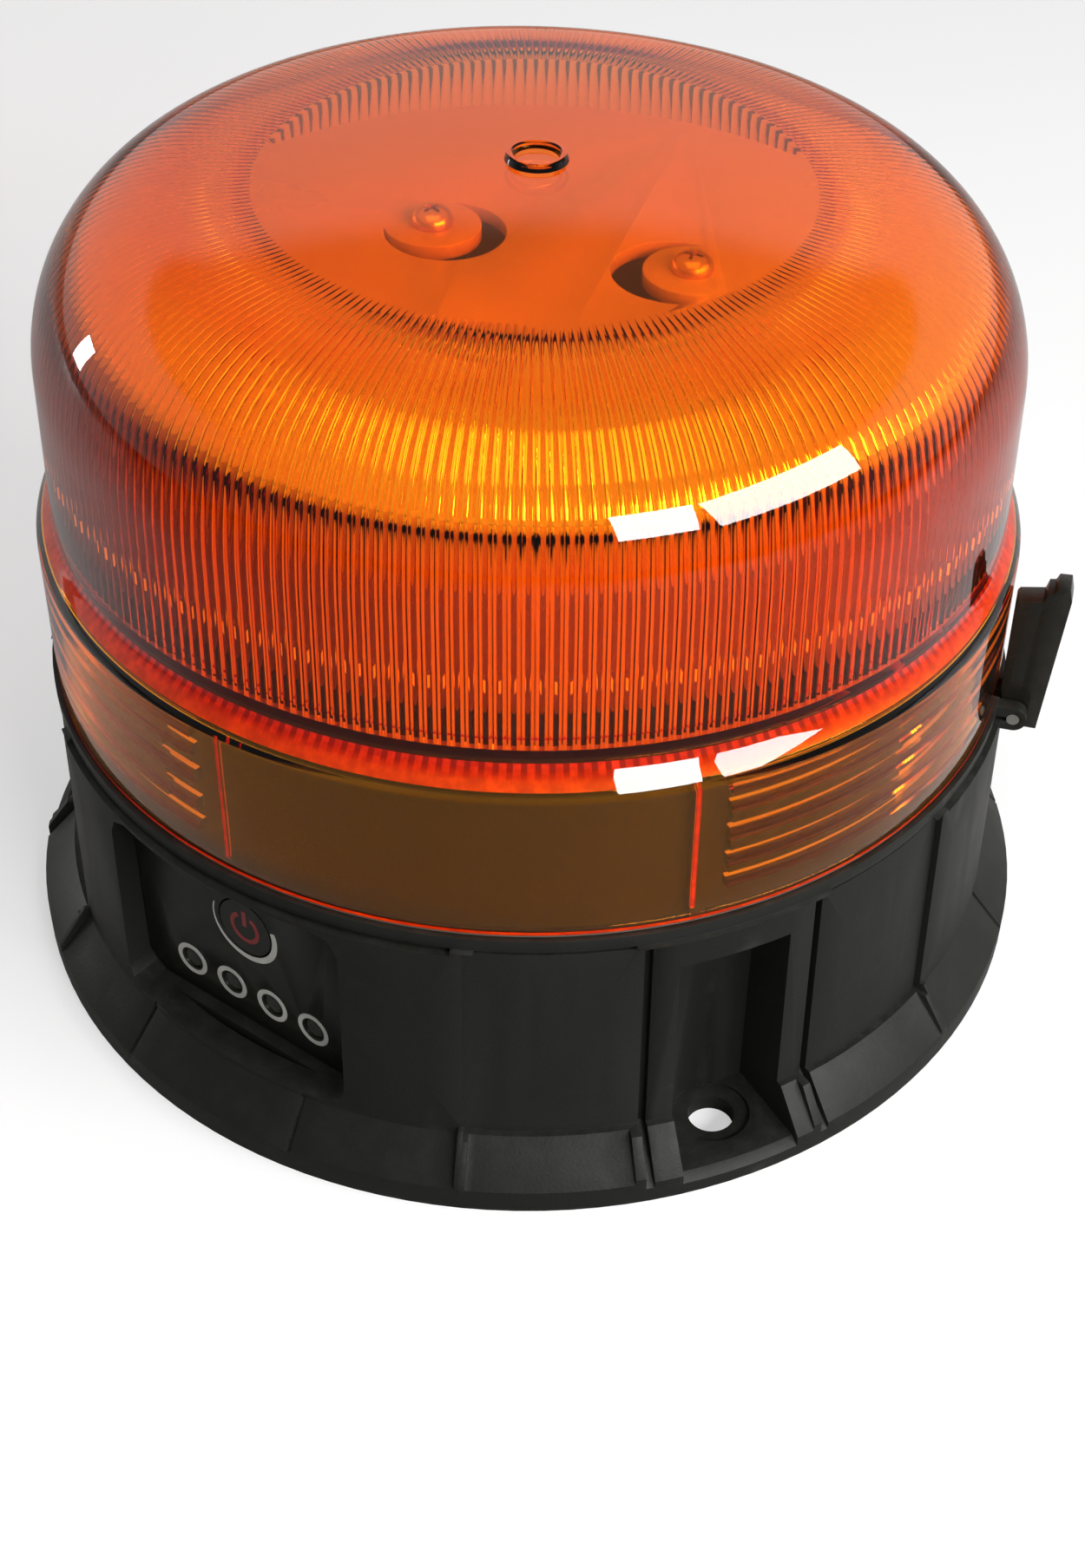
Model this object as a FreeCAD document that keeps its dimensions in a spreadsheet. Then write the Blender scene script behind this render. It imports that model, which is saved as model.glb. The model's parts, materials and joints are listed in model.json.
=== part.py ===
import FreeCAD, Part
import math
import os
import Sketcher
from FreeCAD import Placement, Rotation, Vector

# Rechargeable LED warning beacon: a flanged three-bolt base under a fluted amber dome.
# Frame: +Z up, the origin on the mounting plane at the centre of the bolt circle.
# An azimuth is measured from -Y towards +X. Lengths are millimetres, angles are degrees.
# A piece that faces outwards is drawn on the -Y side and turned to its azimuth.

SIZES = {
    "flange_radius": 75.0, "flange_edge": 3.7, "slope_top": 9.5, "foot_radius": 70.0,
    "wall_radius": 69.3, "wall_top": 42.6, "zone_step": 1.0, "zone_span": 60.0,
    "rib_span": 1.1,
    "cavity_radius": 66.0, "shadow_gap": 0.7, "rim_radius": 68.6, "deck_top": 44.7,
    "deck_thickness": 2.5, "collar_radius": 64.2, "collar_wall": 2.0, "collar_top": 67.0,
    "seal_inner": 66.4, "seal_outer": 67.7, "seal_depth": 0.8, "cover_radius": 59.0,
    "cover_seat": 2.8, "cover_gap": 0.2, "cover_recess": 0.5, "seat_inner": 52.8,
    "lip_top": 5.5, "bolt_circle": 65.0, "bolt_hole": 3.25, "pocket_azimuth": 27.0,
    "pocket_span": 13.3, "pocket_back": 60.3, "pocket_floor": 3.1, "pocket_header": 37.5,
    "pocket_wall": 2.4, "spot_radius": 7.0, "spot_depth": 0.5, "pilaster_span": 20.4,
    "groove_span": 0.9, "groove_depth": 1.2, "keypad_azimuth": -33.0, "keypad_floor": 62.3,
    "keypad_width": 39.6, "keypad_bottom": 10.4, "keypad_top": 41.4, "panel_wall": 2.5,
    "overlay": 0.8, "button_radius": 4.5, "button_gap": 0.25, "button_height": 28.9,
    "lamp_height": 16.3, "lamp_pitch": 7.4, "lamp_radius": 1.5, "keypad_card": 56.0,
    "card": 1.6, "port_azimuth": 207.0, "port_height": 22.0, "port_floor": 66.0,
    "port_width": 15.0, "port_hinge": 16.4, "port_bore": 1.8, "clip_azimuth": 80.0,
    "clip_thickness": 3.8, "clip_pivot": 70.9, "clip_height": 42.6, "clip_pin": 0.9,
    "clip_top": 62.3,
    "ear": 2.0, "ear_gap": 0.25, "post_circle": 21.0, "post_azimuth": -14.0,
    "post_radius": 4.4, "pilot": 1.25, "carrier_radius": 54.0, "carrier_top": 96.5,
    "carrier_plate": 2.0, "drum_radius": 51.0, "band_radius": 68.0, "band_bore": 66.0,
    "band_bottom": 45.05, "band_top": 69.2, "dome_radius": 65.0, "dome_top": 115.0,
    "crown_radius": 368.0, "shoulder": 22.0, "dome_bore": 62.0, "flute_start": 71.3,
    "lug_reach": 64.6, "band_shoulder": 2.3, "thread_reach": 65.4, "lug_span": 60.0,
    "thread_span": 54.0, "led_low": 69.5, "led_high": 84.0, "led_row": 74.1, "led_size": 3.4,
    "magnet_circle": 36.0, "magnet_radius": 9.5, "magnet_base": 1.8, "boss_top": 6.2,
    "cell_radius": 9.2, "cell_length": 65.0, "cell_pitch": 18.8, "board_base": 30.0,
    "board_length": 84.0, "board_width": 60.0, "boss_circle": 56.2, "tray_base": 6.2,
}
FLUTES = 200
LEDS = 48

# Lowest and highest level of each ring of lugs in the dome, and of the ribs they turn between.
LUG_LEVELS = (("48.4", "49.9"), ("51.9", "53.6"), ("56.2", "58.2"), ("60.7", "62.2"),
              ("63.6", "65"))
THREAD_LEVELS = (("50.2", "51.6"), ("53.9", "55.9"), ("58.5", "60.4"))

doc = FreeCAD.newDocument("beacon")
dims = doc.addObject("Spreadsheet::Sheet", "dims")
for row, (alias, number) in enumerate(SIZES.items(), start=1):
    dims.set(f"A{row}", alias)
    dims.set(f"B{row}", str(number))
    dims.setAlias(f"B{row}", alias)
doc.recompute()

pieces = []


# ---- helpers -----------------------------------------------------------------------------

def bound(text):
    """Point each size named in an expression at its cell in the sheet."""
    words = str(text).replace("(", "( ").replace(")", " )").split()
    return " ".join(f"dims.{word}" if word in SIZES else word for word in words)


def value(text):
    """The number an expression over the sizes gives now."""
    return float(dims.evalExpression(" ".join(bound(text).replace("dims.", "").split())))


def bind(item, **sizes):
    for name, text in sizes.items():
        item.setExpression(name, bound(text))
    return item


def turn(item, azimuth):
    """Turn an object about Z to an azimuth."""
    item.setExpression("Placement.Rotation.Axis.x", "0")
    item.setExpression("Placement.Rotation.Axis.y", "0")
    item.setExpression("Placement.Rotation.Axis.z", "1")
    item.setExpression("Placement.Rotation.Angle", bound(azimuth))
    return item


def polar(item, radius, azimuth, height="0"):
    """Stand an object at a radius and azimuth, turned to face outwards."""
    item.setExpression("Placement.Base.x", bound(f"( {radius} ) * sin( {azimuth} )"))
    item.setExpression("Placement.Base.y", bound(f"0 - ( {radius} ) * cos( {azimuth} )"))
    item.setExpression("Placement.Base.z", bound(height))
    return turn(item, azimuth)


def node(item, name):
    """Name a finished sub-part."""
    item.Label = name
    pieces.append(item)
    return item


def datum(body, role):
    return next(item for item in body.Origin.OriginFeatures if item.Role == role)


def new_body(name):
    return doc.addObject("PartDesign::Body", name)


def sketch_on(body, role, name):
    sketch = body.newObject("Sketcher::SketchObject", name)
    sketch.AttachmentSupport = [(datum(body, role), "")]
    sketch.MapMode = "FlatFace"
    return sketch


def hold(sketch, geometry, vertex, x, y):
    """Fix a vertex at two bound coordinates."""
    for kind, axis, text in (("DistanceX", -2, x), ("DistanceY", -1, y)):
        if str(text) == "0":
            sketch.addConstraint(Sketcher.Constraint("PointOnObject", geometry, vertex, axis))
            continue
        rule = Sketcher.Constraint(kind, -1, 1, geometry, vertex, value(text))
        index = sketch.addConstraint(rule)
        sketch.setExpression(f"Constraints[{index}]", bound(text))


def polygon(sketch, corners):
    """Draw a closed outline through corners whose coordinates are expressions."""
    first = sketch.GeometryCount
    points = [Vector(value(x), value(y), 0) for x, y in corners]
    for start, end in zip(points, points[1:] + points[:1]):
        sketch.addGeometry(Part.LineSegment(start, end), False)
    count = len(points)
    for side in range(count):
        after = first + (side + 1) % count
        sketch.addConstraint(Sketcher.Constraint("Coincident", first + side, 2, after, 1))
    for side, (x, y) in enumerate(corners):
        hold(sketch, first + side, 1, x, y)


def spot(radius, azimuth):
    """The coordinate expressions of a point at a radius and azimuth."""
    return f"{radius} * sin( {azimuth} )", f"0 - {radius} * cos( {azimuth} )"


def circle(sketch, x, y, radius):
    geometry = sketch.addGeometry(
        Part.Circle(Vector(value(x), value(y), 0), Vector(0, 0, 1), value(radius)), False)
    hold(sketch, geometry, 3, x, y)
    index = sketch.addConstraint(Sketcher.Constraint("Radius", geometry, value(radius)))
    sketch.setExpression(f"Constraints[{index}]", bound(radius))


def half_plane(body, name, azimuth, *outlines):
    """Outlines of (radius, height) on the half plane at an azimuth."""
    sketch = sketch_on(body, "XZ_Plane", name)
    sketch.setExpression("AttachmentOffset.Rotation.Axis.x", "0")
    sketch.setExpression("AttachmentOffset.Rotation.Axis.y", "1")
    sketch.setExpression("AttachmentOffset.Rotation.Axis.z", "0")
    sketch.setExpression("AttachmentOffset.Rotation.Angle", bound(f"{azimuth} - 90"))
    for outline in outlines:
        polygon(sketch, outline)
    return sketch


def facing(body, name, azimuth, distance):
    """A sketch on the upright plane that faces outwards at an azimuth and distance."""
    sketch = sketch_on(body, "XZ_Plane", name)
    sketch.setExpression("AttachmentOffset.Rotation.Axis.x", "0")
    sketch.setExpression("AttachmentOffset.Rotation.Axis.y", "1")
    sketch.setExpression("AttachmentOffset.Rotation.Axis.z", "0")
    sketch.setExpression("AttachmentOffset.Rotation.Angle", bound(azimuth))
    sketch.setExpression("AttachmentOffset.Base.x", bound(f"( {distance} ) * sin( {azimuth} )"))
    sketch.setExpression("AttachmentOffset.Base.z", bound(f"( {distance} ) * cos( {azimuth} )"))
    return sketch


def level(body, name, height):
    sketch = sketch_on(body, "XY_Plane", name)
    sketch.setExpression("AttachmentOffset.Base.z", bound(height))
    return sketch


def swept(body, kind, sketch, span="360"):
    """A Revolution or Groove about Z, centred on its sketch's half plane."""
    feature = body.newObject(f"PartDesign::{kind}", f"{sketch.Name}_{kind}")
    feature.Profile = sketch
    feature.ReferenceAxis = (sketch, ["V_Axis"])
    feature.Midplane = span != "360"
    feature.Refine = False
    return bind(feature, Angle=span)


def pushed(body, kind, sketch, length, reverse=False):
    """A Pad along its sketch's normal, or a Pocket against it."""
    feature = body.newObject(f"PartDesign::{kind}", f"{sketch.Name}_{kind}")
    feature.Profile = sketch
    feature.Reversed = reverse
    feature.Refine = False
    return bind(feature, Length=length)


def around(body, features, count):
    """Repeat features evenly about Z."""
    pattern = body.newObject("PartDesign::PolarPattern", f"{features[0].Name}_pattern")
    pattern.Originals = features
    pattern.Axis = (datum(body, "Z_Axis"), [""])
    pattern.Angle = 360
    pattern.Occurrences = count
    pattern.Refine = False
    body.Tip = pattern
    return pattern


def rectangle(x0, x1, y0, y1):
    return [(x0, y0), (x1, y0), (x1, y1), (x0, y1)]


def lathe(name, corners):
    """A body turned about Z from one outline."""
    body = new_body(name)
    swept(body, "Revolution", half_plane(body, f"{name}_outline", "0", corners))
    return body


def block(name, x0, x1, y0, y1, z0, z1):
    item = doc.addObject("Part::Box", name)
    bind(item, Length=f"( {x1} ) - ( {x0} )", Width=f"( {y1} ) - ( {y0} )",
         Height=f"( {z1} ) - ( {z0} )")
    for axis, text in zip("xyz", (x0, y0, z0)):
        item.setExpression(f"Placement.Base.{axis}", bound(text))
    return item


def rod(name, radius, length, x="0", y="0", z="0", along="z"):
    """A cylinder from a point, along +X, -Y or +Z."""
    item = doc.addObject("Part::Cylinder", name)
    bind(item, Radius=radius, Height=length)
    axis, angle = {"z": ((0, 0, 1), 0), "x": ((0, 1, 0), 90), "y": ((1, 0, 0), 90)}[along]
    item.Placement = Placement(Vector(), Rotation(Vector(*axis), angle))
    for letter, text in zip("xyz", (x, y, z)):
        item.setExpression(f"Placement.Base.{letter}", bound(text))
    return item


def joined(name, *items):
    item = doc.addObject("Part::MultiFuse", name)
    item.Shapes = list(items)
    return item


def minus(name, base, *tools):
    item = doc.addObject("Part::Cut", name)
    item.Base = base
    item.Tool = tools[0] if len(tools) == 1 else joined(f"{name}_tools", *tools)
    return item


def group(name, items):
    """Separate solids that share one node."""
    item = doc.addObject("Part::Compound", name)
    item.Links = items
    return node(item, name)


def screw(name, head_radius, head_height, shank_radius, length, flip=False):
    """A pan-head screw, its seat at the origin and its shank along -Z, or +Z if flipped."""
    sign = "-" if flip else ""
    tip = "" if flip else "-"
    return lathe(name, [
        ("0", f"{sign}{head_height}"), (f"{head_radius * 0.62}", f"{sign}{head_height}"),
        (head_radius, f"{sign}{head_height * 0.45}"), (head_radius, "0"),
        (shank_radius, "0"), (shank_radius, f"{tip}{length - shank_radius * 0.8}"),
        (f"{shank_radius * 0.3}", f"{tip}{length}"), ("0", f"{tip}{length}")])


def plate(name, azimuth, distance, thickness, *outlines):
    """A flat piece that faces outwards, its back face at a distance from the axis."""
    body = new_body(name)
    sketch = facing(body, f"{name}_outline", azimuth, distance)
    for outline in outlines:
        polygon(sketch, outline)
    pushed(body, "Pad", sketch, thickness)
    return body


def stud(name, azimuth, distance, length, across, height, radius):
    """A round piece that faces outwards."""
    body = new_body(name)
    sketch = facing(body, f"{name}_outline", azimuth, distance)
    circle(sketch, across, height, radius)
    pushed(body, "Pad", sketch, length)
    return body


# ---- base housing ------------------------------------------------------------------------

def sector(name, azimuth, span, *outlines):
    """A tool turned about Z through a span that is centred on an azimuth."""
    body = new_body(name)
    swept(body, "Revolution", half_plane(body, f"{name}_outline", azimuth, *outlines), span)
    return body


def sectors(name, azimuth, span, *outlines):
    """The same sector three times round."""
    return [sector(f"{name}_{count}", f"{azimuth} + {120 * count}", span, *outlines)
            for count in range(3)]


def pegs(name, radius, azimuth, size, low, high, count=3):
    """Upright cylinders evenly round a circle."""
    items = []
    for index in range(count):
        item = rod(f"{name}_{index}", size, f"{high} - ( {low} )")
        items.append(polar(item, radius, f"{azimuth} + {360 // count * index}", low))
    return items


def cross_pin(name, azimuth, radius, height, size, length):
    """A cylinder across the radius, centred on an azimuth."""
    body = new_body(name)
    section = half_plane(body, f"{name}_section", azimuth)
    circle(section, radius, height, size)
    pushed(body, "Pad", section, length).Midplane = True
    return body


def housing_blank():
    """Flange, sloped shoulder, wall, rim, deck, dome collar and the cover's seat."""
    return lathe("housing_blank", [
        ("flange_radius", "0"), ("flange_radius", "flange_edge"),
        ("foot_radius", "slope_top"), ("wall_radius", "wall_top"),
        ("rim_radius", "wall_top + 0.2"), ("rim_radius", "deck_top"),
        ("seal_outer", "deck_top"), ("seal_outer", "deck_top - seal_depth"),
        ("seal_inner", "deck_top - seal_depth"), ("seal_inner", "deck_top"),
        ("collar_radius", "deck_top"), ("collar_radius", "collar_top"),
        ("collar_radius - collar_wall", "collar_top"),
        ("collar_radius - collar_wall", "deck_top"), ("0", "deck_top"),
        ("0", "deck_top - deck_thickness"), ("cavity_radius", "deck_top - deck_thickness"),
        ("cavity_radius", "flange_edge"), ("cover_radius + 1.5", "flange_edge"),
        ("cover_radius + 1.5", "lip_top"), ("seat_inner", "lip_top"),
        ("seat_inner", "cover_seat"), ("seat_inner + 0.4", "cover_seat"),
        ("seat_inner + 0.4", "cover_seat + 0.8"), ("seat_inner + 1.4", "cover_seat + 0.8"),
        ("seat_inner + 1.4", "cover_seat"), ("cover_radius + cover_gap", "cover_seat"),
        ("cover_radius + cover_gap", "0")])


def wall_zones():
    """Three recessed wall zones, and ribs at their edges and grooves that run down the slope."""
    cuts = sectors("zone", "pocket_azimuth", "zone_span", [
        ("foot_radius - zone_step", "slope_top"), ("wall_radius - zone_step", "wall_top"),
        ("wall_radius + 2", "wall_top"), ("foot_radius + 2", "slope_top")])
    ribs = []
    for side, offset, span in (("left", "- zone_span / 2", "rib_span"),
                               ("right", "+ zone_span / 2", "rib_span"),
                               ("near_left", "- pilaster_span / 2 - rib_span + 0.2", "1.4"),
                               ("near_right", "+ pilaster_span / 2 - rib_span + 0.3", "1.3")):
        ribs += sectors(f"{side}_rib", f"pocket_azimuth {offset}", span, [
            ("foot_radius - 2", "slope_top + 1.6"), ("foot_radius + 0.7", "slope_top + 1.2"),
            ("flange_radius", "flange_edge + 0.9"), ("flange_radius", "flange_edge - 1"),
            ("foot_radius - 2", "flange_edge - 1")])
    return ribs, cuts


def bolt_pockets():
    """Three open pockets in the wall, each over a bolt hole with a spot face."""
    shells = sectors("pocket_shell", "pocket_azimuth", "pocket_span + 4.4", rectangle(
        "pocket_back - pocket_wall", "wall_radius - zone_step - 0.3",
        "cover_seat", "deck_top - 1"))
    cuts = sectors("pocket", "pocket_azimuth", "pocket_span", [
        ("pocket_back", "pocket_floor"), ("flange_radius - 1.3", "pocket_floor"),
        ("flange_radius + 1", "pocket_floor - 1.8"), ("flange_radius + 1", "pocket_header"),
        ("pocket_back", "pocket_header")])
    cuts += pegs("spot_face", "bolt_circle", "pocket_azimuth", "spot_radius - 1.6",
                 "pocket_floor - spot_depth", "pocket_floor + 0.2")
    cuts += pegs("bolt_bore", "bolt_circle", "pocket_azimuth", "bolt_hole", "0 - 1",
                 "pocket_floor")
    return shells, cuts


def wall_grooves():
    """Narrow grooves beside the pilasters, and thinner ones across the slope."""
    cuts = []
    for side, offset in (("left", "- pilaster_span / 2"), ("right", "+ pilaster_span / 2")):
        cuts += sectors(f"{side}_groove", f"pocket_azimuth {offset}", "groove_span", [
            ("wall_radius - zone_step - groove_depth", "wall_top"),
            ("foot_radius - zone_step - groove_depth", "slope_top - 0.8"),
            ("flange_radius + 1", "flange_edge - 2"), ("flange_radius + 1", "wall_top")])
    for run, offset, span in (("left", "- 20.2", "17.2"), ("right", "+ 20.2", "17.2"),
                              ("far", "+ 60", "57.6")):
        cuts += sectors(f"{run}_gap", f"pocket_azimuth {offset}", span, rectangle(
            "wall_radius - 1.6", "wall_radius + 1", "wall_top - 0.5",
            "wall_top - 0.5 + shadow_gap"))
    for side, offset in (("left", "- 11.3"), ("right", "+ 11.3")):
        cuts += sectors(f"{side}_line", f"keypad_azimuth {offset}", "0.6", [
            ("foot_radius - 0.2", "slope_top - 0.35"),
            ("flange_radius + 1", "flange_edge - 1.5"), ("flange_radius + 1", "slope_top + 1"),
            ("foot_radius - 0.2", "slope_top + 1")])
    return cuts


def keypad_recess():
    """A flat-floored finger recess in the wall, with holes for the key and the lamps."""
    half = "( keypad_width / 2 )"
    backing = plate("keypad_backing", "keypad_azimuth", "keypad_floor - panel_wall", "5",
                    rectangle(f"0 - {half} - 2.2", f"{half} + 2.2", "keypad_bottom - 2.4",
                              "deck_top - 1"))
    recess = plate("keypad_recess", "keypad_azimuth", "keypad_floor", "20", [
        (f"0 - {half} + 2.6", "keypad_bottom"), (f"{half} - 2.6", "keypad_bottom"),
        (f"{half} - 0.8", "keypad_bottom + 0.8"), (half, "keypad_bottom + 2.6"),
        (half, "keypad_top - 3.6"), (f"{half} - 1.1", "keypad_top - 1.1"),
        (f"{half} - 3.6", "keypad_top"), (f"0 - {half} + 3.6", "keypad_top"),
        (f"0 - {half} + 1.1", "keypad_top - 1.1"), (f"0 - {half}", "keypad_top - 3.6"),
        (f"0 - {half}", "keypad_bottom + 2.6"),
        (f"0 - {half} + 0.8", "keypad_bottom + 0.8")])
    holes = [stud("key_hole", "keypad_azimuth", "keypad_floor - 4", "5", "0",
                  "button_height", "button_radius + button_gap")]
    holes += [stud(f"lamp_hole_{index}", "keypad_azimuth", "keypad_floor - 4", "5",
                   f"lamp_pitch * {place}", "lamp_height", "lamp_radius + 0.15")
              for index, place in enumerate((-1.5, -0.5, 0.5, 1.5))]
    return [backing], [recess, *holes]


def port_recess():
    """A flat recess for the charging socket and its cover, backed inside the wall."""
    half = "( port_width / 2 )"
    backing = plate("port_backing", "port_azimuth", "port_floor - 3", "3.2", rectangle(
        f"0 - {half} - 2", f"{half} + 2", "port_hinge - 4", "port_height + 10"))
    recess = plate("port_recess", "port_azimuth", "port_floor", "10", rectangle(
        f"0 - {half}", half, "port_hinge - 1.8", "port_height + 7"))
    bore = stud("port_hole", "port_azimuth", "port_floor - 5", "6", "0", "port_height", "3.1")
    axle = cross_pin("port_pin_hole", "port_azimuth", "port_floor + 1.3", "port_hinge",
                     "0.45", "port_width + 2.6")
    return [backing], [recess, bore, axle]


def clip_seat():
    """Two ears and the slot between them, which carry the dome clip on its pin."""
    width = "clip_thickness + 2 * ear_gap + 4"
    arm = new_body("ear_arm")
    side = half_plane(arm, "ear_arm_side", "clip_azimuth", rectangle(
        "rim_radius - 0.8", "clip_pivot", "clip_height - ear + 0.1", "clip_height + ear - 0.1"))
    pushed(arm, "Pad", side, width).Midplane = True
    nose = cross_pin("ear_nose", "clip_azimuth", "clip_pivot", "clip_height", "ear - 0.1",
                     width)
    half = "( clip_thickness / 2 + ear_gap )"
    slot = plate("clip_slot", "clip_azimuth", "rim_radius - 1.1", "8", rectangle(
        f"0 - {half}", half, "clip_height - ear - 1", "deck_top + 0.2"))
    hole = cross_pin("clip_pin_hole", "clip_azimuth", "clip_pivot", "clip_height",
                     "clip_pin", width)
    return [arm, nose], [slot, hole]


def dome_thread():
    """Three sectors of level thread ribs on the collar, a stop by each, and a wire window."""
    ribs = sectors("thread", "pocket_azimuth - 1 + thread_span / 2", "thread_span", *[
        rectangle("collar_radius - 0.5", "thread_reach", low, high)
        for low, high in THREAD_LEVELS])
    ribs += sectors("stop", "pocket_azimuth - 4.5", "1.8", rectangle(
        "collar_radius - 0.5", "thread_reach", "deck_top - 0.5", "collar_top - 1.5"))
    window = sector("wire_window", "59", "19", rectangle(
        "collar_radius - collar_wall - 1", "thread_reach + 0.3", "49", "collar_top + 1"))
    return ribs, [window]


BOARD_SCREWS = [(f"( board_length / 2 - 4 ) * {x}", f"( board_width / 2 - 4 ) * {y}")
                for x in (-1, 1) for y in (-1, 1)]


def inner_posts():
    """Posts for the light carrier, bosses for the cover and standoffs for the board."""
    seat = "carrier_top - carrier_plate"
    boss = "pocket_azimuth + 30"
    adds = pegs("carrier_post", "post_circle", "post_azimuth", "post_radius",
                "deck_top - 0.5", seat)
    adds += pegs("cover_boss", "boss_circle", boss, "3.4", "lip_top - 0.5", "lip_top + 12", 6)
    cuts = pegs("carrier_pilot", "post_circle", "post_azimuth", "pilot", f"{seat} - 12",
                f"{seat} + 1")
    cuts += pegs("cover_pilot", "boss_circle", boss, "pilot", "cover_seat - 1",
                 "cover_seat + 12", 6)
    for index, (x, y) in enumerate(BOARD_SCREWS):
        adds.append(rod(f"standoff_{index}", "2.8", "deck_top - 1 - board_base - card", x, y,
                        "board_base + card"))
        cuts.append(rod(f"standoff_pilot_{index}", "pilot", "8", x, y, "board_base + card - 1"))
    cuts.append(rod("lead_passage", "4", "deck_thickness + 2", "34", "0 - 11",
                    "deck_top - deck_thickness - 1"))
    return adds, cuts


def base_housing():
    adds = []
    cuts = wall_grooves()
    for feature in (wall_zones, bolt_pockets, keypad_recess, port_recess, clip_seat,
                    dome_thread, inner_posts):
        more, less = feature()
        adds += more
        cuts += less
    solid = joined("housing_solid", housing_blank(), *adds)
    solid.Refine = False
    node(minus("base_housing", solid, *cuts), "base_housing")


# ---- underside ---------------------------------------------------------------------------

def bottom_cover():
    body = lathe("bottom_cover", [
        ("0", "cover_recess"), ("24", "cover_recess"), ("24", "1.2"), ("50", "1.2"),
        ("50", "cover_recess"), ("cover_radius", "cover_recess"),
        ("cover_radius", "cover_seat"), ("0", "cover_seat")])
    boss = level(body, "magnet_boss", "1.3")
    circle(boss, "0", "0 - magnet_circle", "magnet_radius + 1.7")
    around(body, [pushed(body, "Pad", boss, "boss_top - 1.3")], 3)
    cup = level(body, "magnet_cup", "magnet_base")
    circle(cup, "0", "0 - magnet_circle", "magnet_radius + 0.1")
    around(body, [pushed(body, "Pocket", cup, "boss_top", True)], 3)
    hole = level(body, "screw_hole", "0")
    circle(hole, *spot("boss_circle", "pocket_azimuth + 30"), "1.6")
    around(body, [pushed(body, "Pocket", hole, "5", True)], 6)
    sink = level(body, "screw_sink", "0")
    circle(sink, *spot("boss_circle", "pocket_azimuth + 30"), "2.7")
    around(body, [pushed(body, "Pocket", sink, "1.6", True)], 6)
    node(body, "bottom_cover")


def underside():
    bottom_cover()
    node(lathe("rubber_pad", rectangle("24.2", "49.8", "0", "1.2")), "rubber_pad")
    node(lathe("cover_seal", rectangle("seat_inner + 0.4", "seat_inner + 1.4",
                                       "cover_seat", "cover_seat + 0.75")), "cover_seal")
    magnets = []
    plates = []
    for turn_count in range(3):
        azimuth = f"{120 * turn_count}"
        magnet = rod(f"magnet_{turn_count}", "magnet_radius", "3")
        plate = rod(f"backplate_{turn_count}", "magnet_radius", "boss_top - magnet_base - 3")
        magnets.append(polar(magnet, "magnet_circle", azimuth, "magnet_base"))
        plates.append(polar(plate, "magnet_circle", azimuth, "magnet_base + 3"))
    group("holding_magnets", magnets)
    group("magnet_backplates", plates)
    screws = []
    for turn_count in range(6):
        item = screw(f"cover_screw_{turn_count}", 2.5, 1.1, 1.15, 11, flip=True)
        screws.append(polar(item, "boss_circle", f"pocket_azimuth + 30 + {60 * turn_count}", "1.6"))
    group("cover_screws", screws)


# ---- inside the base ---------------------------------------------------------------------

def battery():
    half_x = "( 2 * cell_pitch + 1.2 )"
    half_y = "( cell_length / 2 + 1.6 )"
    outer = block("tray_outer", f"0 - {half_x}", half_x, f"0 - {half_y}", half_y,
                  "tray_base", "tray_base + 9")
    inner = block("tray_inner", f"0 - {half_x} + 1", f"{half_x} - 1", f"0 - {half_y} + 1",
                  f"{half_y} - 1", "tray_base + 1.2", "tray_base + 10")
    node(minus("battery_tray", outer, inner), "battery_tray")
    cells = []
    for count in range(4):
        across = f"cell_pitch * {count - 1.5}"
        height = "tray_base + 1.25 + cell_radius"
        can = rod(f"cell_can_{count}", "cell_radius", "cell_length - 1.2", across,
                  "cell_length / 2 - 0.6", height, "y")
        cap = rod(f"cell_cap_{count}", "2.9", "cell_length", across,
                  "cell_length / 2", height, "y")
        cells.append(joined(f"cell_{count}", can, cap))
    group("battery_cells", cells)


def control_board():
    card = block("card", "0 - board_length / 2", "board_length / 2", "0 - board_width / 2",
                 "board_width / 2", "board_base", "board_base + card")
    holes = [rod(f"card_hole_{index}", "1.6", "4", x, y, "board_base - 1")
             for index, (x, y) in enumerate(BOARD_SCREWS)]
    node(minus("control_board", card, *holes), "control_board")
    screws = []
    for index, (x, y) in enumerate(BOARD_SCREWS):
        item = screw(f"board_screw_{index}", 2.4, 1.3, 1.15, 7, flip=True)
        for letter, text in zip("xyz", (x, y, "board_base")):
            item.setExpression(f"Placement.Base.{letter}", bound(text))
        screws.append(item)
    group("board_screws", screws)
    top = "board_base + card"
    core = rod("inductor_core", "5.2", "5", "0 - 22", "12", top)
    flanges = [block(f"inductor_flange_{index}", "0 - 28", "0 - 16", "6", "18",
                     f"{top} + {low}", f"{top} + {low + 1}") for index, low in enumerate((0, 4.6))]
    node(joined("charge_inductor", core, *flanges), "charge_inductor")
    group("capacitors", [rod(f"capacitor_{index}", "4", "8.4", f"{x}", "0 - 16", top)
                         for index, x in enumerate((-24, -12, 0))])
    group("driver_chips", [block(f"chip_{index}", f"{x}", f"{x} + 6", "4", "9", top,
                                 f"{top} + 1.6") for index, x in enumerate((-8, 4, 16))])
    shell = block("header_shell", "30", "38", "0 - 14", "0 - 6", top, f"{top} + 6")
    slot = block("header_slot", "31", "37", "0 - 13", "0 - 7", f"{top} + 1", f"{top} + 7")
    node(minus("lead_header", shell, slot), "lead_header")


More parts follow.
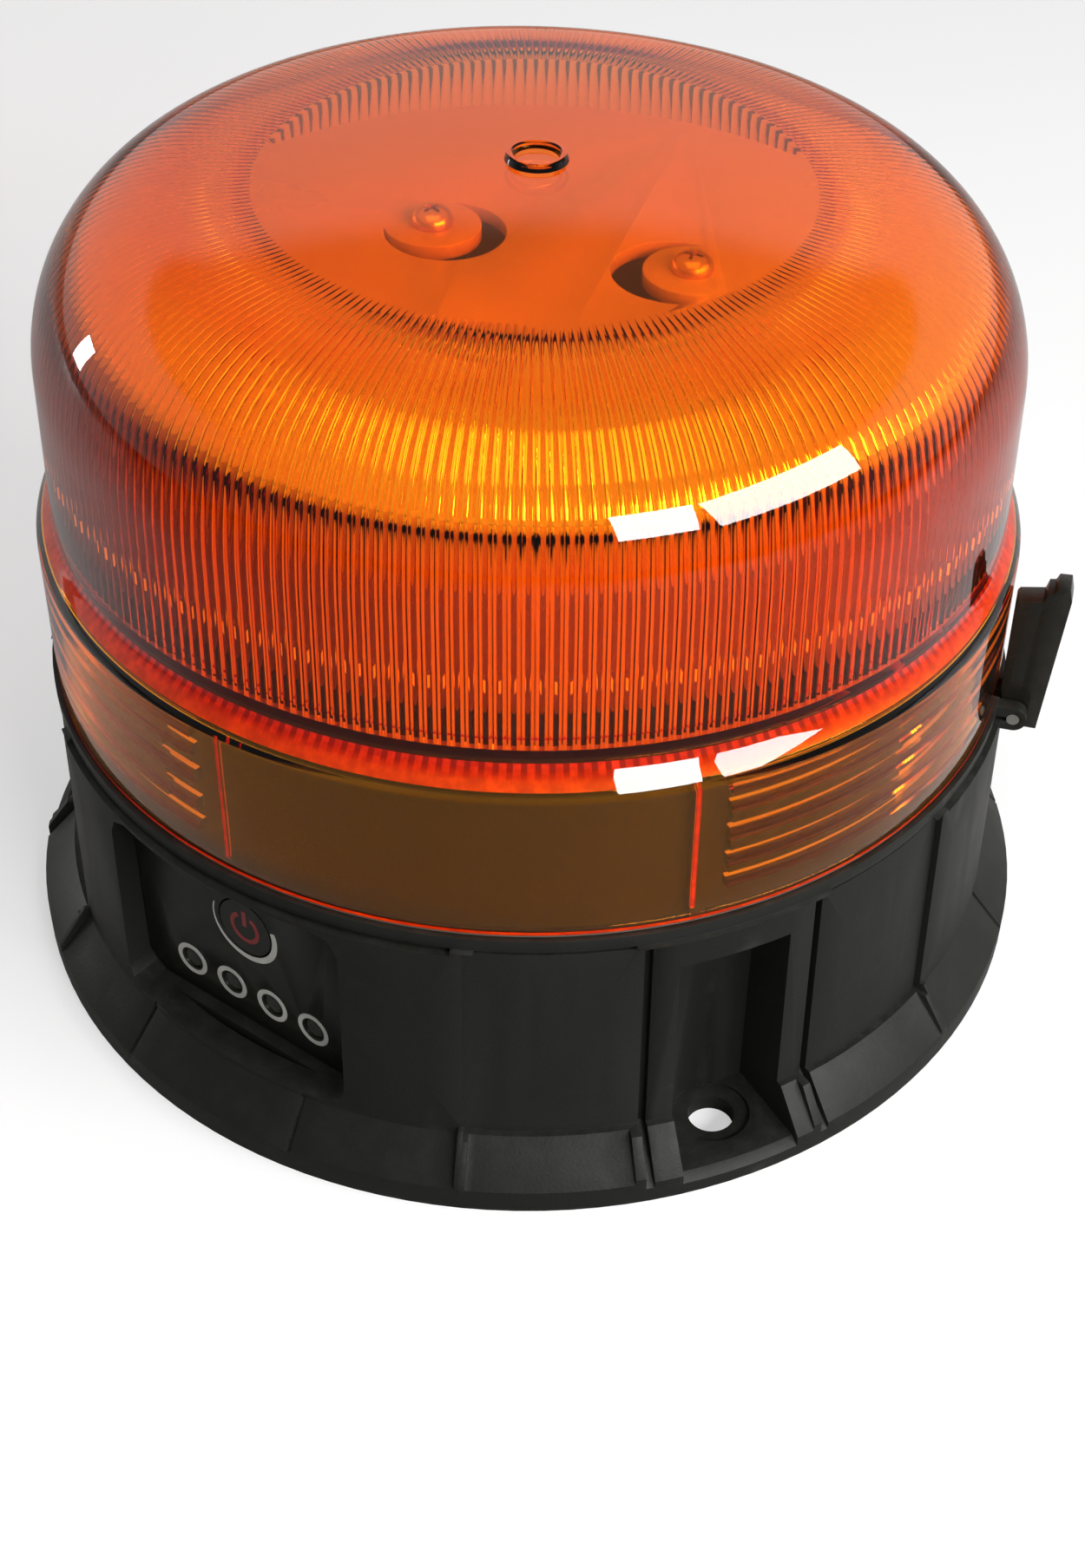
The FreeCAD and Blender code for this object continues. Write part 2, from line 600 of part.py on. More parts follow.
def charge_port():
    """The charging socket behind the port recess, and its hinged cover on a pin."""
    body = new_body("charge_socket")
    case = facing(body, "socket_case", "port_azimuth", "port_floor - 15")
    polygon(case, rectangle("0 - 4.5", "4.5", "port_height - 4.5", "port_height + 4.5"))
    pushed(body, "Pad", case, "12")
    neck = facing(body, "socket_neck", "port_azimuth", "port_floor - 3.2")
    circle(neck, "0", "port_height", "3")
    pushed(body, "Pad", neck, "3.0")
    bore = facing(body, "socket_bore", "port_azimuth", "port_floor")
    circle(bore, "0", "port_height", "port_bore")
    pushed(body, "Pocket", bore, "9")
    contact = facing(body, "socket_contact", "port_azimuth", "port_floor - 10")
    circle(contact, "0", "port_height", "0.6")
    pushed(body, "Pad", contact, "8.5")
    node(body, "charge_socket")

    cover = plate("port_cover", "port_azimuth", "port_floor + 0.3", "2", rectangle(
        "0 - port_width / 2 + 0.4", "port_width / 2 - 0.4", "port_hinge", "port_height + 6.6"))
    lip = facing(cover, "cover_lip", "port_azimuth", "port_floor + 2")
    polygon(lip, rectangle("0 - 4", "4", "port_height + 4.6", "port_height + 6.6"))
    pushed(cover, "Pad", lip, "1.9")
    barrel = half_plane(cover, "cover_barrel", "port_azimuth")
    circle(barrel, "port_floor + 1.3", "port_hinge", "1")
    pushed(cover, "Pad", barrel, "port_width - 0.8").Midplane = True
    axle = half_plane(cover, "cover_axle_hole", "port_azimuth")
    circle(axle, "port_floor + 1.3", "port_hinge", "0.5")
    pushed(cover, "Pocket", axle, "port_width").Midplane = True
    node(cover, "port_cover")

    pin = new_body("port_cover_pin")
    wire = half_plane(pin, "cover_pin_section", "port_azimuth")
    circle(wire, "port_floor + 1.3", "port_hinge", "0.45")
    pushed(pin, "Pad", wire, "port_width + 2.6").Midplane = True
    node(pin, "port_cover_pin")


# ---- keypad ------------------------------------------------------------------------------

def keypad():
    azimuth = "keypad_azimuth"
    half = "( keypad_width / 2 - 0.3 )"
    low = "( keypad_bottom + 0.3 )"
    high = "( keypad_top - 0.3 )"
    body = plate("keypad_overlay", azimuth, "keypad_floor", "overlay", [
        (f"0 - {half} + 3", low), (f"{half} - 3", low), (half, f"{low} + 3"),
        (half, f"{high} - 3.6"), (f"{half} - 3.6", high), (f"0 - {half} + 3.6", high),
        (f"0 - {half}", f"{high} - 3.6"), (f"0 - {half}", f"{low} + 3")])
    window = facing(body, "overlay_window", azimuth, "keypad_floor + overlay")
    circle(window, "0", "button_height", "button_radius + button_gap")
    for place in (-1.5, -0.5, 0.5, 1.5):
        circle(window, f"lamp_pitch * {place}", "lamp_height", "lamp_radius + 0.15")
    pushed(body, "Pocket", window, "overlay + 1")
    node(body, "keypad_overlay")

    body = plate("keypad_board", azimuth, "keypad_card", "card",
                 rectangle("0 - 17", "17", "11.5", "39.5"))
    mounts = facing(body, "keypad_board_holes", azimuth, "keypad_card + card")
    for side in ("0 - 14", "14"):
        circle(mounts, side, "36.5", "1.3")
    pushed(body, "Pocket", mounts, "4")
    node(body, "keypad_board")
    screws = []
    for index, side in enumerate(("0 - 14", "14")):
        body = stud(f"keypad_screw_{index}", azimuth, "keypad_card - 1.2", "1.2", side,
                    "36.5", "2.2")
        shank = facing(body, f"keypad_shank_{index}", azimuth, "keypad_card - 0.1")
        circle(shank, side, "36.5", "1.1")
        pushed(body, "Pad", shank, "keypad_floor - panel_wall - keypad_card + 0.1")
        screws.append(body)
    group("keypad_screws", screws)
    spacers = []
    for index, side in enumerate(("0 - 14", "14")):
        body = stud(f"keypad_spacer_{index}", azimuth, "keypad_card + card",
                    "keypad_floor - panel_wall - keypad_card - card", side, "36.5", "2.4")
        bore = facing(body, f"spacer_bore_{index}", azimuth, "keypad_floor")
        circle(bore, side, "36.5", "1.3")
        pushed(body, "Pocket", bore, "8")
        spacers.append(body)
    group("keypad_spacers", spacers)

    face = "( keypad_card + card )"
    body = plate("power_switch", azimuth, face, "3.2",
                 rectangle("0 - 3", "3", "button_height - 3", "button_height + 3"))
    well = facing(body, "switch_well", azimuth, f"{face} + 3.2")
    circle(well, "0", "button_height", "1.75")
    pushed(body, "Pocket", well, "1.8")
    node(body, "power_switch")
    node(stud("switch_plunger", azimuth, f"{face} + 2.2",
              f"keypad_floor - 0.1 - {face} - 2.2", "0", "button_height", "1.65"),
         "switch_plunger")
    node(stud("power_button", azimuth, "keypad_floor - 0.1", "overlay + 0.1", "0",
              "button_height", "button_radius"), "power_button")
    group("status_leds", [stud(f"status_led_{index}", azimuth, face,
                               f"keypad_floor + 0.4 - {face}", f"lamp_pitch * {place}",
                               "lamp_height", "lamp_radius")
                          for index, place in enumerate((-1.5, -0.5, 0.5, 1.5))])


# ---- dome clip ---------------------------------------------------------------------------

def torsion_spring(radius, wire, pitch, turns):
    """Close turns about X with a straight leg at each end, swept from one wire."""
    length = pitch * turns
    coil = Part.makeHelix(pitch, length, radius)
    coil.rotate(Vector(), Vector(0, 1, 0), 90)
    coil.translate(Vector(-length / 2, 0, 0))
    ends = sorted((vertex.Point for vertex in coil.Vertexes), key=lambda point: point.x)
    rise = Vector(pitch / math.tau / radius, 1, 0).normalize()
    legs = [Part.makeLine(ends[0] - rise * 1.2, ends[0]),
            Part.makeLine(ends[-1], ends[-1] + rise * 1.3)]
    path = Part.Wire([legs[0], *coil.Edges, legs[1]])
    section = Part.Wire(Part.makeCircle(wire, ends[0] - rise * 1.2, rise))
    return path.makePipeShell([section], True, True)


def dome_clip():
    """A finger tab on a pin at the rim, which stands close beside the dome's band."""
    foot = "clip_height - ear"
    body = new_body("dome_clip")
    fin = half_plane(body, "clip_fin", "clip_azimuth", [
        ("clip_pivot - 1.6", f"{foot} + 0.6"), ("clip_pivot - 1", f"{foot} - 0.7"),
        ("clip_pivot + 3.4", f"{foot} - 0.7"), ("clip_pivot + 5", "clip_top"),
        ("clip_pivot + 4.5", "clip_top + 2.1"), ("clip_pivot + 2.8", "clip_top + 2"),
        ("clip_pivot + 2.4", "clip_top + 1"), ("clip_pivot + 1.6", "clip_top + 0.9"),
        ("clip_pivot + 1.2", "clip_top - 0.6"), ("band_radius + 0.7", "clip_top - 1.2"),
        ("band_radius + 0.4", "clip_top - 1.7"), ("band_radius + 0.5", "deck_top + 1.6"),
        ("clip_pivot - 1.9", "clip_height + 0.6")])
    pushed(body, "Pad", fin, "clip_thickness").Midplane = True
    slot = half_plane(body, "spring_slot", "clip_azimuth", rectangle(
        "clip_pivot - 2.6", "clip_pivot + 1.8", f"{foot} - 1", "clip_height + 3.2"))
    pushed(body, "Pocket", slot, "2.7").Midplane = True
    hole = half_plane(body, "clip_bore", "clip_azimuth")
    circle(hole, "clip_pivot", "clip_height", "clip_pin + 0.04")
    pushed(body, "Pocket", hole, "clip_thickness + 1").Midplane = True
    node(body, "dome_clip")

    pin = new_body("clip_pin")
    section = half_plane(pin, "clip_pin_section", "clip_azimuth")
    circle(section, "clip_pivot", "clip_height", "clip_pin")
    pushed(pin, "Pad", section, "clip_thickness + 2 * ear_gap + 4").Midplane = True
    node(pin, "clip_pin")

    spring = doc.addObject("Part::Feature", "clip_spring")
    spring.Shape = torsion_spring(value("clip_pin") + 0.36, 0.28, 0.62, 3)
    node(polar(spring, "clip_pivot", "clip_azimuth", "clip_height"), "clip_spring")


# ---- light engine ------------------------------------------------------------------------

def light_carrier():
    """A plate on a drum, with a crescent cut-out on the inner side of each screw boss."""
    body = lathe("carrier_form", [
        ("0", "carrier_top - carrier_plate"), ("drum_radius - 2", "carrier_top - carrier_plate"),
        ("drum_radius - 2", "69"), ("drum_radius", "69"), ("drum_radius", "92"),
        ("carrier_radius", "92"), ("carrier_radius", "carrier_top - 0.8"),
        ("carrier_radius - 0.8", "carrier_top"), ("0", "carrier_top")])
    cuts = []
    for count in range(3):
        azimuth = f"post_azimuth + {120 * count}"
        moon = minus(f"crescent_{count}", rod(f"crescent_outer_{count}", "8.2", "6", "0", "2.7"),
                     rod(f"crescent_inner_{count}", "6.6", "8", "0", "0", "0 - 1"))
        cuts.append(polar(moon, "post_circle", azimuth, "carrier_top - carrier_plate - 1"))
        hole = rod(f"carrier_hole_{count}", "1.65", "6")
        cuts.append(polar(hole, "post_circle", azimuth, "carrier_top - 4"))
    node(minus("light_carrier", body, *cuts), "light_carrier")
    group("carrier_screws", [
        polar(screw(f"carrier_screw_{count}", 2.9, 2.2, 1.15, 10), "post_circle",
              f"post_azimuth + {120 * count}", "carrier_top") for count in range(3)])


def light_engine():
    light_carrier()
    node(lathe("led_board", rectangle("drum_radius + 0.05", "drum_radius + 1.35", "led_low",
                                      "led_high")), "led_board")
    chips = []
    for count in range(LEDS):
        chip = plate(f"led_{count}", f"{360 / LEDS * count}", "drum_radius + 1.4", "0.9",
                     rectangle("0 - led_size / 2", "led_size / 2", "led_row - 1.4",
                               "led_row + 1.4"))
        chips.append(chip)
    group("led_chips", chips)
    lead("led_lead_red", [(33, -12, 37.6), (33.4, -12.6, 49), (43, -26, 52.5),
                          (49.6, -33.4, 58.5), (48.4, -32, 66), (43.1, -28, 68.8)])
    lead("led_lead_black", [(35.4, -8.6, 37.6), (36, -9, 49), (49, -18.6, 51.5),
                            (55.8, -22.6, 58.5), (54.6, -23.2, 65.5), (45.8, -23.4, 68.8)])


def lead(name, stops, radius=0.75):
    """A wire through its stops: straight runs joined by tangent arcs as large as they allow."""
    points = [Vector(*stop) for stop in stops]
    edges = []
    start = points[0]
    for before, corner, after in zip(points, points[1:], points[2:]):
        into = (corner - before).normalize()
        out = (after - corner).normalize()
        half = into.getAngle(out) / 2
        shorter = min(corner.distanceToPoint(before), corner.distanceToPoint(after))
        trim = 0.45 * shorter
        bend = trim / math.tan(half)
        enter = corner - into * trim
        leave = corner + out * trim
        inside = (out - into).normalize()
        middle = corner + inside * (bend / math.cos(half) - bend)
        edges.append(Part.LineSegment(start, enter).toShape())
        edges.append(Part.Arc(enter, middle, leave).toShape())
        print(f"{name}: bend radius {bend:.1f}")
        start = leave
    edges.append(Part.LineSegment(start, points[-1]).toShape())
    path = Part.Wire(edges)
    section = Part.Wire(Part.makeCircle(radius, points[0], points[1] - points[0]))
    item = doc.addObject("Part::Feature", name)
    item.Shape = path.makePipeShell([section], True, False, 1)
    expected = math.pi * radius ** 2 * path.Length
    if abs(item.Shape.Volume - expected) > 0.02 * expected:
        raise RuntimeError(f"{name} has the wrong volume")
    node(item, name)


# ---- dome --------------------------------------------------------------------------------

def star(height, outer, inner):
    """A level ring of flutes: a closed polygon that alternates between two radii."""
    corners = []
    for index in range(2 * FLUTES):
        reach = outer if index % 2 == 0 else inner
        angle = math.pi * index / FLUTES
        corners.append(Vector(reach * math.cos(angle), reach * math.sin(angle), height))
    return Part.makePolygon(corners + corners[:1])


def fluted_core():
    """The hollow of the dome: V flutes up the side, then in over the shoulder to the disc."""
    item = doc.addObject("Part::Feature", "fluted_core")
    item.Shape = Part.makeLoft([
        star(value("flute_start") - 0.01, 61.6, 60.4), star(100, 60.4, 59.2),
        star(105.4, 55.4, 54), star(109.2, 47.6, 44.6), star(110.5, 36, 35.9)], True, True)
    return item


def circle_edge(shape, radius, low, high):
    """The name of the level circular edge with a radius, between two heights."""
    for index, edge in enumerate(shape.Edges, start=1):
        box = edge.BoundBox
        if abs(box.XMax - radius) < 0.02 and low < box.ZMin and box.ZMax < high:
            if box.ZLength < 0.01:
                return f"Edge{index}"
    raise RuntimeError(f"no edge of radius {radius}")


def dome_shell():
    """The outside of the dome and the plain bore of its band, turned about Z."""
    body = new_body("dome_shell")
    crown_edge = "dome_top - crown_radius + sqrt( crown_radius ^ 2 - dome_radius ^ 2 )"
    sketch = half_plane(body, "dome_outline", "0")
    corners = [("0", "band_bottom"), ("band_radius", "band_bottom"),
               ("band_radius - 0.2", "band_top"), ("dome_radius + 0.5", "band_top + 0.3"),
               ("dome_radius", crown_edge), ("0", "dome_top")]
    points = [Vector(value(x), value(y), 0) for x, y in corners]
    for start, end in zip(points[:4], points[1:5]):
        sketch.addGeometry(Part.LineSegment(start, end), False)
    middle = Vector(0, value("dome_top - crown_radius"), 0)
    ball = Part.Circle(middle, Vector(0, 0, 1), value("crown_radius"))
    rise = math.acos(value("dome_radius") / value("crown_radius"))
    sketch.addGeometry(Part.ArcOfCircle(ball, rise, math.pi / 2), False)
    sketch.addGeometry(Part.LineSegment(points[5], points[0]), False)
    for side in range(6):
        sketch.addConstraint(Sketcher.Constraint("Coincident", side, 2, (side + 1) % 6, 1))
    for side, (x, y) in enumerate(corners):
        hold(sketch, side, 1, x, y)
    index = sketch.addConstraint(Sketcher.Constraint("Radius", 4, value("crown_radius")))
    sketch.setExpression(f"Constraints[{index}]", bound("crown_radius"))
    solid = swept(body, "Revolution", sketch)
    doc.recompute()
    for name, radius, low, high, size in (
            ("shoulder_round", "dome_radius", 105, 112, "shoulder"),
            ("band_round", "band_radius - 0.2", 69, 69.4, "band_shoulder")):
        edge = circle_edge(solid.Shape, value(radius), low, high)
        rounded = body.newObject("PartDesign::Fillet", name)
        rounded.Base = (solid, [edge])
        bind(rounded, Radius=size)
        doc.recompute()
        solid = rounded
    bore = half_plane(body, "band_bore_outline", "0", [
        ("0", "band_bottom - 1"), ("band_bore", "band_bottom - 1"),
        ("band_bore", "band_top - 2.6"), ("dome_bore", "band_top + 0.4"),
        ("dome_bore", "flute_start"), ("0", "flute_start")])
    swept(body, "Groove", bore)
    lugs = half_plane(body, "lugs", "pocket_azimuth - 2 + lug_span / 2", *[
        rectangle("lug_reach", "band_bore + 0.5", low, high)
        for low, high in LUG_LEVELS])
    around(body, [swept(body, "Revolution", lugs, "lug_span")], 3)
    lines = []
    for name, offset in (("start", "- 5"), ("end", "+ 62")):
        line = half_plane(body, f"{name}_line", f"pocket_azimuth {offset}", rectangle(
            "thread_reach + 0.35", "band_bore + 0.5", "band_bottom + 0.5", "band_top - 3"))
        lines.append(swept(body, "Revolution", line, "0.8"))
    around(body, lines, 3)
    gate = level(body, "gate_ring", "dome_top - 0.4")
    circle(gate, "0", "0", "4")
    pushed(body, "Pad", gate, "1.3")
    gate_well = level(body, "gate_well", "dome_top + 0.9")
    circle(gate_well, "0", "0", "2.9")
    pushed(body, "Pocket", gate_well, "0.9")
    return body


def dome():
    crown = doc.addObject("Part::Sphere", "crown_ball")
    bind(crown, Radius="crown_radius - 3")
    crown.setExpression("Placement.Base.z", bound("dome_top - crown_radius"))
    disc = rod("crown_disc", "36", "4", z="109")
    hollow = doc.addObject("Part::Common", "inner_crown")
    hollow.Base = crown
    hollow.Tool = disc
    shell = minus("dome", dome_shell(), fluted_core(), hollow)
    shell.Refine = False
    node(shell, "dome")


# ---- build, check and write --------------------------------------------------------------

base_housing()
underside()
battery()
control_board()
charge_port()
keypad()
dome_clip()
node(lathe("dome_seal", rectangle("seal_inner + 0.05", "seal_outer - 0.05",
                                  "deck_top - seal_depth", "deck_top + 0.05")), "dome_seal")
light_engine()
dome()
doc.recompute()

for item in doc.Objects:
    if "Invalid" in item.State or "Error" in item.State:
        raise RuntimeError(f"{item.Name} ({item.Label}) failed: {item.State}")
for piece in pieces:
    if piece.Shape.isNull() or not piece.Shape.isValid() or not piece.Shape.Solids:
        raise RuntimeError(f"{piece.Label} has no valid solid")

os.makedirs("parts", exist_ok=True)
for piece in pieces:
    piece.Shape.exportStep(f"parts/{piece.Label}.step")
    print(f"{piece.Label}: {len(piece.Shape.Solids)} solid(s), {piece.Shape.Volume:.1f} mm3")
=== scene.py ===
"""Warning beacon with a fluted amber dome, modelled and finished over its CAD frame."""
import json
import math

import bmesh
import bpy
from bpy.props import FloatProperty, FloatVectorProperty, IntProperty, PointerProperty
from mathutils import Matrix, Vector


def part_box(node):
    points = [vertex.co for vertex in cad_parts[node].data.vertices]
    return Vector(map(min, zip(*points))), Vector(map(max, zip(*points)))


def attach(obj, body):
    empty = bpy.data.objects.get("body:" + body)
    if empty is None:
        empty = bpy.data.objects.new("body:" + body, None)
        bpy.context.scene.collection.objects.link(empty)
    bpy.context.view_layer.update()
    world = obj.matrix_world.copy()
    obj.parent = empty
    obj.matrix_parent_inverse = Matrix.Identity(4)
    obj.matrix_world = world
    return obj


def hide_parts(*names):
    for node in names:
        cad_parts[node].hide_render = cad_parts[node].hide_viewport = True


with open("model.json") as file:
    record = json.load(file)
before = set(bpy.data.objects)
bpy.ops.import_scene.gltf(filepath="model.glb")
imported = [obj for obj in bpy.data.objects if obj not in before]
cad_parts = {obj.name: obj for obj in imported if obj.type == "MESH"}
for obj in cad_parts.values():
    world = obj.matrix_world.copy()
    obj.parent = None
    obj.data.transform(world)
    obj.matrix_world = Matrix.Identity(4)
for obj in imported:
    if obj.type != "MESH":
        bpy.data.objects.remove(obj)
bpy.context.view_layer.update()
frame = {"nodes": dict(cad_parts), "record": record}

bl_info = {
    "name": "Warning Beacon",
    "version": (1, 0, 0),
    "blender": (4, 5, 0),
    "location": "View3D > Sidebar > Beacon",
    "description": "A rechargeable warning beacon: fluted dome, flanged base, keypad and clip",
    "category": "Add Mesh",
}

MM = 0.001
ROOT, DOME, CLIP, BUTTON, FLAP = "base", "dome", "clip", "button", "port_cover_flap"

# Sizes shared with the CAD model, in millimetres and degrees.
KEYPAD_AZIMUTH = -33.0
KEYPAD_FACE = 63.1
LAMP_HEIGHT, LAMP_PITCH = 16.3, 7.4
BUTTON_HEIGHT = 28.9
POST_CIRCLE, POST_AZIMUTH, CARRIER_TOP = 21.0, -14.0, 96.5
COVER_SCREW_CIRCLE = 56.2
POCKET_AZIMUTH = 27.0
LEDS = 48
LEAD_RADIUS, LEAD_LENGTH = 0.75, 49.4
RED_ROUTE = ((33, -12, 37.6), (33.4, -12.6, 49), (43, -26, 52.5), (49.6, -33.4, 58.5),
             (48.4, -32, 66), (43.1, -28, 68.8))
BLACK_ROUTE = ((35.4, -8.6, 37.6), (36, -9, 49), (49, -18.6, 51.5), (55.8, -22.6, 58.5),
               (54.6, -23.2, 65.5), (45.8, -23.4, 68.8))

# The dome: radii, heights, and the interrupted thread in the bore of its foot band.
BORE_RADIUS, BAND_RADIUS = 66, 68
BAND_LOW, BAND_RISE, BAND_DRAFT = 45.4, 20.8, 0.17
WALL_FOOT, WALL_FOOT_RADIUS = 71.2, 65.46
FLUTE_FOOT, FLUTE_HEAD = 71.3, 98.9
CROWN_WALL = 3
GATE_RADIUS = 4.1
LUG_LEVELS = ((48.4, 49.9), (51.9, 53.6), (56.2, 58.2), (60.7, 62.2), (63.6, 65))
LUG_START, LUG_SPAN, LUG_REACH = POCKET_AZIMUTH - 2, 60, 64.9
LINE_STARTS = (POCKET_AZIMUTH - 5.75, POCKET_AZIMUTH + 61.25)
LINE_SPAN, LINE_EDGE, LINE_REACH = 1.5, 0.6, 65.5


def srgb(red, green, blue, alpha=1.0):
    """A linear colour from display values of 0 to 255."""
    line = []
    for step in (red, green, blue):
        share = step / 255
        line.append(share / 12.92 if share <= 0.04045 else ((share + 0.055) / 1.055) ** 2.4)
    return (*line, alpha)


# ---- settings ----------------------------------------------------------------------------

class BeaconDomeSettings(bpy.types.PropertyGroup):
    """Sizes of the amber dome."""
    flutes: IntProperty(name="Flutes", description="Ribs round the inside of the dome",
                        default=240, min=40, max=300)
    flute_depth: FloatProperty(name="Flute Depth", description="How far a rib stands in",
                               default=1.1 * MM, subtype="DISTANCE", unit="LENGTH")
    flute_columns: IntProperty(name="Columns", description="Mesh columns across one flute",
                               default=6, min=4, max=10)
    radius: FloatProperty(name="Radius", description="Outside radius of the dome's wall",
                          default=65 * MM, subtype="DISTANCE", unit="LENGTH")
    top: FloatProperty(name="Top", description="Height of the crown above the base's foot",
                       default=115 * MM, subtype="DISTANCE", unit="LENGTH")
    shoulder: FloatProperty(name="Shoulder", description="Radius of the rounded shoulder",
                            default=22 * MM, subtype="DISTANCE", unit="LENGTH")
    crown: FloatProperty(name="Crown", description="Radius of the shallow crown",
                         default=368 * MM, subtype="DISTANCE", unit="LENGTH")


class BeaconFinishSettings(bpy.types.PropertyGroup):
    """Colours of the visible finishes."""
    housing: FloatVectorProperty(name="Housing", description="Textured black moulding",
                                 subtype="COLOR", size=4, default=srgb(25, 26, 23))
    amber_glow: FloatVectorProperty(name="Amber", description="Tint of the dome's surface",
                                    subtype="COLOR", size=4, default=(0.96, 0.86, 0.62, 1))
    amber_body: FloatVectorProperty(name="Amber Depth", subtype="COLOR", size=4,
                                    description="What a thick part of the dome lets through",
                                    default=(0.992, 0.76, 0.03, 1))
    amber_density: FloatProperty(name="Density", description="How soon the dome deepens",
                                 default=860.0, min=0)
    marking: FloatVectorProperty(name="Marking", description="Printed rings and arc",
                                 subtype="COLOR", size=4, default=srgb(167, 166, 160))
    power: FloatVectorProperty(name="Power Mark", description="Printed power sign",
                               subtype="COLOR", size=4, default=srgb(120, 30, 30))
    wear: FloatProperty(name="Wear", description="Rubbed edges on the black mouldings",
                        default=0.5, min=0, max=1, subtype="FACTOR")


class BeaconStageSettings(bpy.types.PropertyGroup):
    """Light and floor."""
    window: FloatProperty(name="Window", description="Strength of the window light, in watts",
                          default=12.5, min=0)
    overhead: FloatProperty(name="Overhead", description="Strength of the overhead panel",
                            default=3.6, min=0)
    wall: FloatProperty(name="Walls", description="Brightness of the pale walls behind",
                        default=0.62, min=0)
    ceiling: FloatProperty(name="Ceiling", description="Brightness of the room above",
                           default=0.14, min=0)
    camera_height: FloatProperty(name="Camera Rise", description="Camera elevation",
                                 default=math.radians(41.9832), subtype="ANGLE",
                                 unit="ROTATION")


# ---- modelling helpers -------------------------------------------------------------------

def deselect():
    if bpy.context.object and bpy.context.object.mode != "OBJECT":
        bpy.ops.object.mode_set(mode="OBJECT")
    bpy.ops.object.select_all(action="DESELECT")


def named(name):
    """Name the object just added, and its mesh."""
    piece = bpy.context.object
    piece.name = name
    piece.data.name = name
    return piece


def make_active(piece):
    deselect()
    piece.select_set(True)
    bpy.context.view_layer.objects.active = piece


def edit(piece, kind="VERT"):
    make_active(piece)
    bpy.ops.object.mode_set(mode="EDIT")
    bpy.ops.mesh.select_mode(type=kind)


def done():
    bpy.ops.object.mode_set(mode="OBJECT")


def pick(piece, kind, test):
    """In edit mode, select the vertices, edges or faces that pass a test, and count them."""
    bpy.ops.mesh.select_mode(type=kind)
    bpy.ops.mesh.select_all(action="DESELECT")
    mesh = bmesh.from_edit_mesh(piece.data)
    parts = {"VERT": mesh.verts, "EDGE": mesh.edges, "FACE": mesh.faces}[kind]
    chosen = 0
    for part in parts:
        if test(part):
            part.select_set(True)
            chosen += 1
    bmesh.update_edit_mesh(piece.data)
    return chosen


def middle(part):
    """The centre of an edge or a face, in millimetres."""
    if isinstance(part, bmesh.types.BMFace):
        return part.calc_center_median() / MM
    return (part.verts[0].co + part.verts[1].co) / 2 / MM


def azimuth_of(point):
    """Degrees from -Y towards +X, from 0 to 360."""
    return math.degrees(math.atan2(point.x, -point.y)) % 360


def within(angle, start, span):
    """True for an angle in the span that starts at a given angle."""
    return (angle - start) % 360 <= span


def arc(centre, radius, start, end, steps):
    """Points on an arc in a plane, angles in degrees from its first axis."""
    points = []
    for step in range(steps + 1):
        angle = math.radians(start + (end - start) * step / steps)
        points.append((centre[0] + radius * math.cos(angle),
                       centre[1] + radius * math.sin(angle)))
    return points


def traced(name, points):
    """A chain of edges: one vertex, extruded from point to point, in millimetres."""
    deselect()
    bpy.ops.mesh.primitive_plane_add(size=MM, location=(0, 0, 0))
    piece = named(name)
    edit(piece)
    bpy.ops.mesh.select_all(action="SELECT")
    bpy.ops.mesh.merge(type="CENTER")
    here = Vector(points[0]) * MM
    bpy.ops.transform.translate(value=here)
    for point in points[1:]:
        there = Vector(point) * MM
        bpy.ops.mesh.extrude_vertices_move(TRANSFORM_OT_translate={"value": there - here})
        here = there
    return piece


def spun(piece, steps, degrees=360.0, copies=False):
    """Spin what the piece holds about Z."""
    bpy.ops.mesh.select_all(action="SELECT")
    bpy.ops.mesh.spin(steps=steps, dupli=copies, angle=math.radians(degrees),
                      center=(0, 0, 0), axis=(0, 0, 1))
    weld()


def weld(distance=0.004):
    bpy.ops.mesh.select_all(action="SELECT")
    bpy.ops.mesh.remove_doubles(threshold=distance * MM)


def outward():
    bpy.ops.mesh.select_all(action="SELECT")
    bpy.ops.mesh.normals_make_consistent(inside=False)


def grow(factor):
    """Scale what is selected about Z, level."""
    bpy.ops.transform.resize(value=(factor, factor, 1), center_override=(0, 0, 0))


def wedge(name, outline, steps, degrees=360.0):
    """Turn (radius, height) points about Z, and stay in edit mode."""
    piece = traced(name, [(radius, 0, height) for radius, height in outline])
    spun(piece, steps, degrees)
    return piece


def turned(name, outline, steps):
    """A closed body of revolution about Z from (radius, height) points that end on Z."""
    piece = wedge(name, outline, steps)
    outward()
    done()
    return piece


def flat_shape(name, outline, thickness):
    """A plate whose face is drawn in X and Z, as thick as stated towards +Y."""
    piece = traced(name, [(x, 0, z) for x, z in outline])
    bpy.ops.mesh.select_all(action="SELECT")
    bpy.ops.mesh.edge_face_add()
    bpy.ops.mesh.select_all(action="SELECT")
    bpy.ops.mesh.extrude_region_move(TRANSFORM_OT_translate={"value": (0, thickness * MM, 0)})
    outward()
    done()
    return piece


def modified(piece, kind, name, **settings):
    """Add a modifier and apply it."""
    make_active(piece)
    item = piece.modifiers.new(name, kind)
    for key, setting in settings.items():
        setattr(item, key, setting)
    bpy.ops.object.modifier_apply(modifier=item.name)
    return piece


def rounded(piece, width, segments=2, degrees=32.0):
    return modified(piece, "BEVEL", "Rounded edges", width=width * MM, segments=segments,
                    limit_method="ANGLE", angle_limit=math.radians(degrees),
                    use_clamp_overlap=True, miter_outer="MITER_ARC")


def smooth(piece, degrees=35.0):
    make_active(piece)
    bpy.ops.object.shade_smooth_by_angle(angle=math.radians(degrees))
    return piece


